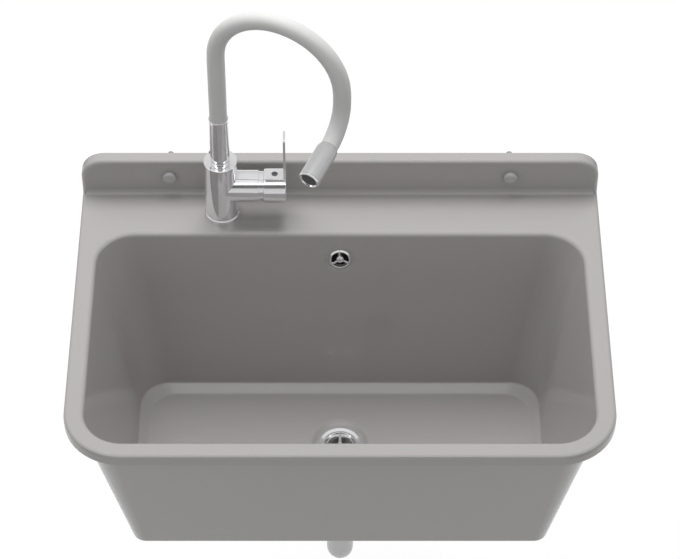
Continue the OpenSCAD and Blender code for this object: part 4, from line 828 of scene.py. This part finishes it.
def make_spout():
    sleeve = shape("spout_socket", (turned(eased([
        (12.65, SLEEVE_Z), (13.6, SLEEVE_Z, 0.2), (14, 113, 0.3), (14, 190, 0.7),
        (12.65, 190, 0.3)]), 96), TAP))
    cut(sleeve, (rod(2.15, 10, 18, 28), TAP @ shift(0, 0, 123) @ turn(-90, "Y")))
    place(sleeve, "chrome", ["spout_sleeve"], "spout", sharp=30)
    make_piece("spout_silicone_hose", "silicone_hose", "spout_hose",
               (pipe(hose_path(), HOSE_R, HOSE_IN_R, 64), SINK), body="spout")
    shell = eased([
        (12.65, -1), (13.1, -1, 0.3), (14.2, 2, 2.5), (HEAD_R, 6.5, 3),
        (HEAD_R, HEAD_L, 0.4), (12.65, HEAD_L), (12.65, 45), (7, 45), (7, 12.1),
        (12.65, 12.1)], 6)
    make_piece("spout_outlet_head", "head_plastic", "spout_head",
               (turned(shell, 96), HEAD), body="spout", sharp=40)
    rim = eased([
        (11, 46), (12.5, 46), (12.5, HEAD_L), (14.6, HEAD_L, 0.2), (HEAD_R, 57.8, 0.4),
        (HEAD_R, 59, 0.8), (13.8, 60, 0.6), (12.2, 60, 0.6), (11, 58.4, 0.4)])
    make_piece("aerator_rim", "chrome", "aerator_ring", (turned(rim, 96), HEAD),
               body="spout", sharp=30)
    face = eased([
        (0, 56), (9.4, 56), (9.4, 46), (10.85, 46), (10.85, 58.2, 0.3), (10.1, 58.5, 0.2),
        (9.7, 57.9, 0.2), (8.9, 57.9, 0.2), (2.2, 57.9, 0.2), (1.8, 58.3, 0.2),
        (0, 58.3)], 3)
    aerator = shape("aerator_mesh", (turned(face, 80), HEAD))
    hole = rod(0.52, 55, 59, 10)
    combine(aerator, "DIFFERENCE", [
        (hole, HEAD @ shift(x, y, 0))
        for radius, count in ((2.9, 8), (4.4, 13), (5.9, 18), (7.3, 23), (8.6, 28))
        for x, y, _ in ring(radius, 0, count)])
    place(aerator, "dark_plastic", ["aerator_insert"], "spout", sharp=30)


# The waste
def make_overflow_pipe():
    behind = OVERFLOW @ shift(0, 0, -9.5)
    down = OVERFLOW @ shift(0, 0, -23.5) @ turn(90, "X")
    cup = eased([
        (13, -3), (13, 0), (18.6, 0, 0.4), (18.9, -3, 0.8), (15.4, -3.4, 0.8),
        (15, -26.5, 2.5), (12.5, -28, 1), (0, -28), (0, -25.5), (13, -25.5)])
    spigot = [(9.8, 12), (9.8, 37), (8, 37), (8, 12)]
    band = eased([(11.5, 13.5), (11.5, 16, 0.4), (8.5, 16), (8.5, 13.5)])
    boss = [(0, -26), (4.5, -26), (4.5, -4), (2.65, -4), (2.65, -22), (0, -22)]
    elbow = shape("overflow_elbow", (turned(cup, 72), behind))
    add(elbow, (turned(spigot, 56), down), (turned(band, 56), down),
        (turned(boss, 40), behind))
    place(elbow, "dark_plastic", ["overflow_head"])

    # the tube: along the bowl's wall, round a bend, and into the waste's inlet
    lean_cos, lean_sin = unit(DRAFT)
    top_y, top_z, run = -90.31, -65.24, 214.41
    bend_y, bend_z, bend_r, level = -172.93, -267.5, 42, 57.07
    path = [(0, top_y - run * t * lean_sin, top_z - run * t * lean_cos)
            for t in steps_to_one(12)[:-1]]
    path += [(0, y, z) for y, z in arc((bend_y, bend_z), bend_r, -DRAFT, -90, 16)]
    path += [(0, bend_y - level * i / 5, bend_z - bend_r) for i in range(1, 6)]
    # a bead at its top end
    path[1:1] = [(0, top_y - d * lean_sin, top_z - d * lean_cos) for d in (3, 3.3)]
    outer = [12.3] * 2 + [11.5] * (len(path) - 2)
    make_piece("overflow_tube", "white_plastic", "overflow_pipe",
               (pipe(path, outer, 10.0, 48), DECK))


def nut_outline(bore, lip_bore, height, outer):
    return eased([(lip_bore, 0), (outer - 1, 0, 0.8), (outer, 1.4, 0.8),
                  (outer, height - 4, 0.6), (outer - 1.2, height - 3.2, 0.3),
                  (outer - 1.2, height, 0.6), (bore, height), (bore, 3), (lip_bore, 3)])


def make_nuts():
    large = turned(nut_outline(23.65, SOCKET_IN_R, 24, 27), 96)
    small = turned(nut_outline(16.15, 11.65, 18, 19), 80)
    over = turn(180, "X")
    for name, nut, where, node in (
            ("waste_union_nut", large, DRAIN @ shift(0, 0, -78), "waste_nut"),
            ("trap_inlet_union_nut", large, DRAIN @ shift(0, 0, -168) @ over,
             "trap_inlet_nut"),
            ("trap_outlet_union_nut", large, DRAIN @ shift(0, TRAP_OUT_Y, -195) @ over,
             "trap_outlet_nut"),
            ("overflow_union_nut", small, INLET_MOUTH @ shift(0, 0, 7) @ over,
             "overflow_nut")):
        make_piece(name, "white_plastic", node, (nut, where), sharp=45)


def make_waste_body():
    outside = eased([
        (0, 0), (35.5, 0, 0.8), (35.5, -4, 0.8), (30, -5, 1.5), (29, -34, 3),
        (SOCKET_R, -42, 2), (SOCKET_R, -62, 0.5), (0, -62)])
    inside = [(0, 1), (26, 1), (26, -31), (18.5, -40), (18.5, -63), (0, -63)]
    inlet = eased([(0, 0), (16, 0), (16, INLET_L, 0.5), (0, INLET_L)])
    cup = shape("waste_cup", (turned(outside, 96), WASTE))
    add(cup, (turned(inlet, 72), INLET))
    for z, r in ((-38, 24.2), (-31.5, 29.1)):
        bead = eased([(22, z), (r, z, 0.5), (r, z - 2, 0.5), (22, z - 2)])
        add(cup, (turned(bead, 96), DRAIN @ shift(0, 0, -16)))
    cut(cup, (turned(inside, 80), WASTE), (rod(12.2, 0, INLET_L + 1, 56), INLET))
    boss = turned([(2.55, -30), (5.5, -30), (5.5, -16), (2.55, -16)], 40)
    rib = block((5, -1.25, -29), (27, 1.25, -21))
    add(cup, (boss, WASTE), *[(rib, WASTE @ turn(a, "Z")) for a in (45, 165, 285)])
    place(cup, "white_plastic", ["waste_body"], sharp=40)


def make_tailpipe():
    tube = eased([(0, -206), (PIPE_R, -206, 0.5), (PIPE_R, -75), (23.2, -75, 0.4),
                  (23.2, -72, 0.4), (0, -72)])
    branch = eased([(0, 0), (BRANCH_R, 0), (BRANCH_R, BRANCH_L, 0.4), (0, BRANCH_L)])
    shoulder = eased([(0, 20), (12.4, 20), (11.4, 30, 0.6), (0, 30)])
    piece = shape("tail_tube", (turned(tube, 96), DRAIN))
    add(piece, (turned(branch, 56), BRANCH), (turned(shoulder, 56), BRANCH))
    cut(piece, (rod(PIPE_IN_R, -207, -71, 72), DRAIN), (rod(8, 0, BRANCH_L + 1), BRANCH))
    place(piece, "white_plastic", ["tailpipe"], sharp=40)


def make_branch_cap():
    shell = eased([
        (0, 10), (10.05, 10), (10.05, 0), (11.8, 0, 0.3), (12, 10.6, 1.2),
        (9.6, 11.4, 0.6), (8.4, 12, 0.4), (0, 12)])
    rib = bar([((11.75, 0, z), (0, 1, 0), (1, 0, 0), half_w, 0.8) for z, half_w in
               ((0.2, 0.55), (1, 0.75), (5, 0.75), (8.8, 0.75), (9.8, 0.4))], 0.35)
    cap = shape("branch_end_cap", (turned(shell, 64), BRANCH_CAP))
    add(cap, *[(rib, BRANCH_CAP @ turn(a, "Z")) for a in range(0, 360, 30)])
    place(cap, "white_plastic", ["branch_cap"], "branch_plug", sharp=40)

    # the strap: a band round the branch, and a loop out and up to the cap
    band_z, band_half_h, loop_r = 47, 1.5, 12
    low, high = band_z - band_half_h, band_z + band_half_h
    band = eased([(10.4, low, 0.2), (11.6, low, 0.4), (11.6, high, 0.4),
                  (10.4, high, 0.2)])
    stations = [((12.1 + 11.8 * c, 0, band_z + loop_r + loop_r * s), (0, 1, 0), (c, 0, s),
                 1.25, 0.5) for c, s in map(unit, range(-90, 91, 9))]
    make_piece("branch_tether", "white_plastic", "branch_strap",
               (turned(band, 56), BRANCH), (bar(stations, 0.3), BRANCH),
               body="branch_plug")


def plumbing(name, node, stations, inner=None):
    """A pipe in the plane x = 0 below the drain. Each station is (y, z, outer radius) or
    (y, z, outer radius, inner radius)."""
    path = [(0, s[0], s[1]) for s in stations]
    inner = [s[3] for s in stations] if inner is None else inner
    make_piece(name, "white_plastic", node,
               (pipe(path, [s[2] for s in stations], inner, 80), DRAIN), sharp=30)


def make_trap():
    """The bend, whose sockets and U are one pipe of changing radius, and the outlet."""
    wide, out = SOCKET_IN_R, TRAP_OUT_Y
    bend = [(0, -176, 23.1, wide), (0, -176.5, SOCKET_R, wide), (0, -195, SOCKET_R, wide),
            (0, -196, 22.6, wide), (0, -208, 22.3, wide), (0, -209, 22.2, 18.2),
            (0, -211, 21.8, PIPE_IN_R), (0, -213, PIPE_R, PIPE_IN_R),
            (0, -222, PIPE_R, PIPE_IN_R)]
    bend += [(y, z, PIPE_R, PIPE_IN_R)
             for y, z in arc((TRAP_R, TRAP_Z), TRAP_R, 180, 360, 28)]
    bend += [(out, -228.6, 20.2, PIPE_IN_R), (out, -227.4, 22.2, 18.2),
             (out, -226.4, 22.4, wide), (out, -223, 22.6, wide),
             (out, -222, SOCKET_R, wide), (out, -203.5, SOCKET_R, wide),
             (out, -203, 23.1, wide)]
    plumbing("trap_u_bend", "trap_bend", bend)
    outlet = [(out, -226, 19.6), (out, -225.5, PIPE_R), (out, -194, PIPE_R),
              (out, -192.4, 20.9), (out, -190.6, 20.9), (out, -189, PIPE_R)]
    outlet += [(y, z, PIPE_R) for y, z in arc((out + 40, OUTLET_Z - 40), 40, 180, 90, 20)]
    outlet += [(y, OUTLET_Z, r) for y, r in ((150, PIPE_R), (230, PIPE_R), (264, PIPE_R),
                                             (264.2, 19.8), (296.4, 19.8), (297, 19.3))]
    plumbing("outlet_tube", "outlet_pipe", outlet, inner=float(PIPE_IN_R))


def make_wall_rosette():
    """A flange of four lobes round the outlet."""
    sides = 144
    lobe_at, lobe_r, round_r, most_r = 21, 16, 26.0, 37

    def lobed(inset, z):
        points = []
        for i in range(sides):
            a = 2 * pi * i / sides
            near = (a + pi / 4) % (pi / 2) - pi / 4
            across = lobe_at * sin(near)
            lobe = 0
            if abs(across) < lobe_r:
                lobe = lobe_at * cos(near) + sqrt(lobe_r ** 2 - across ** 2)
            r = min((lobe ** 10 + round_r ** 10) ** 0.1 - inset, most_r - inset)
            points.append((r * cos(a), r * sin(a), z))
        return points

    rows = [ring(SOCKET_IN_R, 0, sides), lobed(0.4, 0), lobed(0, 0.5), lobed(0, 6.4)]
    rows += [lobed(3.2 - 3.2 * c, 6.4 + 4.4 * s) for c, s in map(unit, (18, 36, 54, 72))]
    rows += [lobed(5.2, 10.9)]
    rows += [ring(r, z, sides) for r, z in (
        (25, 11.1), (24.2, 11.6), (23.9, 12.8), (23.6, 13.6), (22.8, 14), (20.6, 14),
        (SOCKET_IN_R, 13.6))]
    make_piece("wall_flange", "white_plastic", "wall_rosette",
               (skin(rows), WALL_HOLE), sharp=45)


make_basin()
make_screw_caps()
make_overflow_rosette()
make_strainer()
make_plug()
make_tap_body()
make_hub()
make_lever()
make_spout()
make_overflow_pipe()
make_nuts()
make_waste_body()
make_tailpipe()
make_branch_cap()
make_trap()
make_wall_rosette()

# The other CAD nodes keep their shapes and get their finishes
for part in frame["record"]["subparts"]:
    solid = frame["nodes"][part["node"]]
    if not solid.hide_render:
        solid.data.materials.clear()
        solid.data.materials.append(FINISHES[part["material_slot"]])


# The studio. Its lengths are in metres.
WHITE = (1, 1, 1, 1)
FLOOR_HALF, FLOOR_LEVEL, FLOOR_SHADE, FLOOR_GLOW = 9.0, -0.86, 0.32, 0.67
TAP_FOOT = (-0.17, -0.06, FLOOR_LEVEL)
FLAGS, FLAGS_FROM, FLAGS_FULL, FLAG_DARK = 4.0, 1.3, 1.9, 0.95
SKY_FILL, SKY_BRIGHTEST = 0.60, 3.0
# Levels from the horizon in front, over the top at 0.5, to the horizon behind
SKY_LEVELS = [
    (0.0, 0.75), (0.12, 0.65), (0.165, 0.04), (0.27, 0.03), (0.295, SKY_BRIGHTEST),
    (0.335, 2.6), (0.37, 1.0), (0.50, 0.85), (0.62, 0.72), (0.78, 0.66), (0.90, 0.55),
    (1.0, 0.5)]
LAMP_SIZE, LAMP_WATTS = (2.4, 1.5), 80
LAMP_AT, LAMP_TO = (-0.3, 0.95, 2.8), (0, -0.3, -0.05)
SENSOR_W, PHOTO_W, FOCAL_PIXELS = 36, 680, 2730
CAMERA_AT, CAMERA_TO = (0, -2.819, 2.798), (0, -0.234, 0.013)


def mixed_shader(tree, share, first, second):
    made = wired(tree, "MixShader", [(0, share), (1, first), (2, second)])
    return made.outputs[0]


def make_floor():
    """A pale floor that a view from below looks up through. For what shines, dark flags
    lie far out on it, round the tap."""
    mesh = bpy.data.meshes.new("studio_floor")
    corners = [(x * FLOOR_HALF, y * FLOOR_HALF, FLOOR_LEVEL)
               for x, y in ((-1, -1), (1, -1), (1, 1), (-1, 1))]
    mesh.from_pydata(corners, [], [(0, 1, 2, 3)])
    floor = linked("studio_floor", mesh)
    material = bpy.data.materials.new("studio_floor")
    material.use_nodes = True
    tree = material.node_tree
    surface = tree.nodes["Principled BSDF"]
    surface.inputs["Base Color"].default_value = (FLOOR_SHADE,) * 3 + (1,)
    surface.inputs["Roughness"].default_value = 0.9
    surface.inputs["Emission Color"].default_value = WHITE
    rays = wired(tree, "LightPath").outputs
    spot = wired(tree, "NewGeometry").outputs
    from_tap = wired(tree, "VectorMath", [(0, spot["Position"]), (1, TAP_FOOT)],
                     operation="SUBTRACT").outputs["Vector"]
    away = wired(tree, "VectorMath", [(0, from_tap)], operation="LENGTH")
    far = spread(tree, away.outputs["Value"], FLAGS_FROM, FLAGS_FULL)
    parts = wired(tree, "SeparateXYZ", [(0, from_tap)]).outputs
    bearing = calc(tree, "ARCTAN2", parts[1], parts[0])
    wave = calc(tree, "COSINE", calc(tree, "MULTIPLY", bearing, FLAGS))
    flag = spread(tree, wave, -0.3, -0.8, 0.0, FLAG_DARK)
    shine = calc(tree, "SUBTRACT", rays["Is Glossy Ray"],
                 calc(tree, "MULTIPLY", flag, far))
    seen = calc(tree, "MAXIMUM", rays["Is Camera Ray"], shine)
    tree.links.new(calc(tree, "MULTIPLY", seen, FLOOR_GLOW),
                   surface.inputs["Emission Strength"])
    clear = wired(tree, "BsdfTransparent").outputs[0]
    one_sided = mixed_shader(tree, spot["Backfacing"], surface.outputs[0], clear)
    tree.links.new(one_sided, tree.nodes["Material Output"].inputs["Surface"])
    floor.data.materials.append(material)


def make_sky():
    """White to the camera and softer to the object. What shines sees a band of light high
    in front, a dark flag below the band, and grey elsewhere."""
    world = bpy.data.worlds.new("studio")
    scene.world = world
    world.use_nodes = True
    tree = world.node_tree
    tree.nodes.clear()
    out = tree.nodes.new("ShaderNodeOutputWorld")
    rays = wired(tree, "LightPath").outputs

    def background(colour, strength):
        return wired(tree, "Background", [("Color", colour),
                                          ("Strength", strength)]).outputs[0]

    fill = background(WHITE, SKY_FILL)
    white = background(WHITE, 1.0)
    where = wired(tree, "TexCoord").outputs["Generated"]
    along = wired(tree, "SeparateXYZ", [(0, where)]).outputs
    ahead = calc(tree, "MULTIPLY", along[1], -1.0)
    height = calc(tree, "DIVIDE", calc(tree, "ARCTAN2", along[2], ahead), pi)
    ramp = wired(tree, "ValToRGB", [(0, height)])
    stops = ramp.color_ramp.elements
    while len(stops) < len(SKY_LEVELS):
        stops.new(0.5)
    for stop, (position, level) in zip(stops, SKY_LEVELS):
        stop.position = position
        stop.color = (level / SKY_BRIGHTEST,) * 3 + (1,)
    shine = background(ramp.outputs[0], SKY_BRIGHTEST)
    glossy = mixed_shader(tree, rays["Is Glossy Ray"], fill, shine)
    seen = calc(tree, "MAXIMUM", rays["Is Camera Ray"], rays["Is Transmission Ray"])
    tree.links.new(mixed_shader(tree, seen, glossy, white), out.inputs["Surface"])


def aim(thing, target):
    direction = Vector(target) - thing.location
    thing.rotation_euler = direction.to_track_quat("-Z", "Y").to_euler()


def make_lamp():
    light = bpy.data.lights.new("rear_softbox", "AREA")
    light.shape = "RECTANGLE"
    light.size, light.size_y = LAMP_SIZE
    light.energy = LAMP_WATTS
    lamp = linked("rear_softbox", light)
    lamp.location = LAMP_AT
    lamp.visible_glossy = False
    aim(lamp, LAMP_TO)


def make_camera():
    lens = bpy.data.cameras.new("camera")
    camera = linked("camera", lens)
    lens.sensor_width = SENSOR_W
    lens.lens = SENSOR_W * FOCAL_PIXELS / PHOTO_W
    lens.clip_end = 50
    camera.location = CAMERA_AT
    aim(camera, CAMERA_TO)
    scene.camera = camera


make_floor()
make_sky()
make_lamp()
make_camera()
scene.view_settings.view_transform = "Standard"
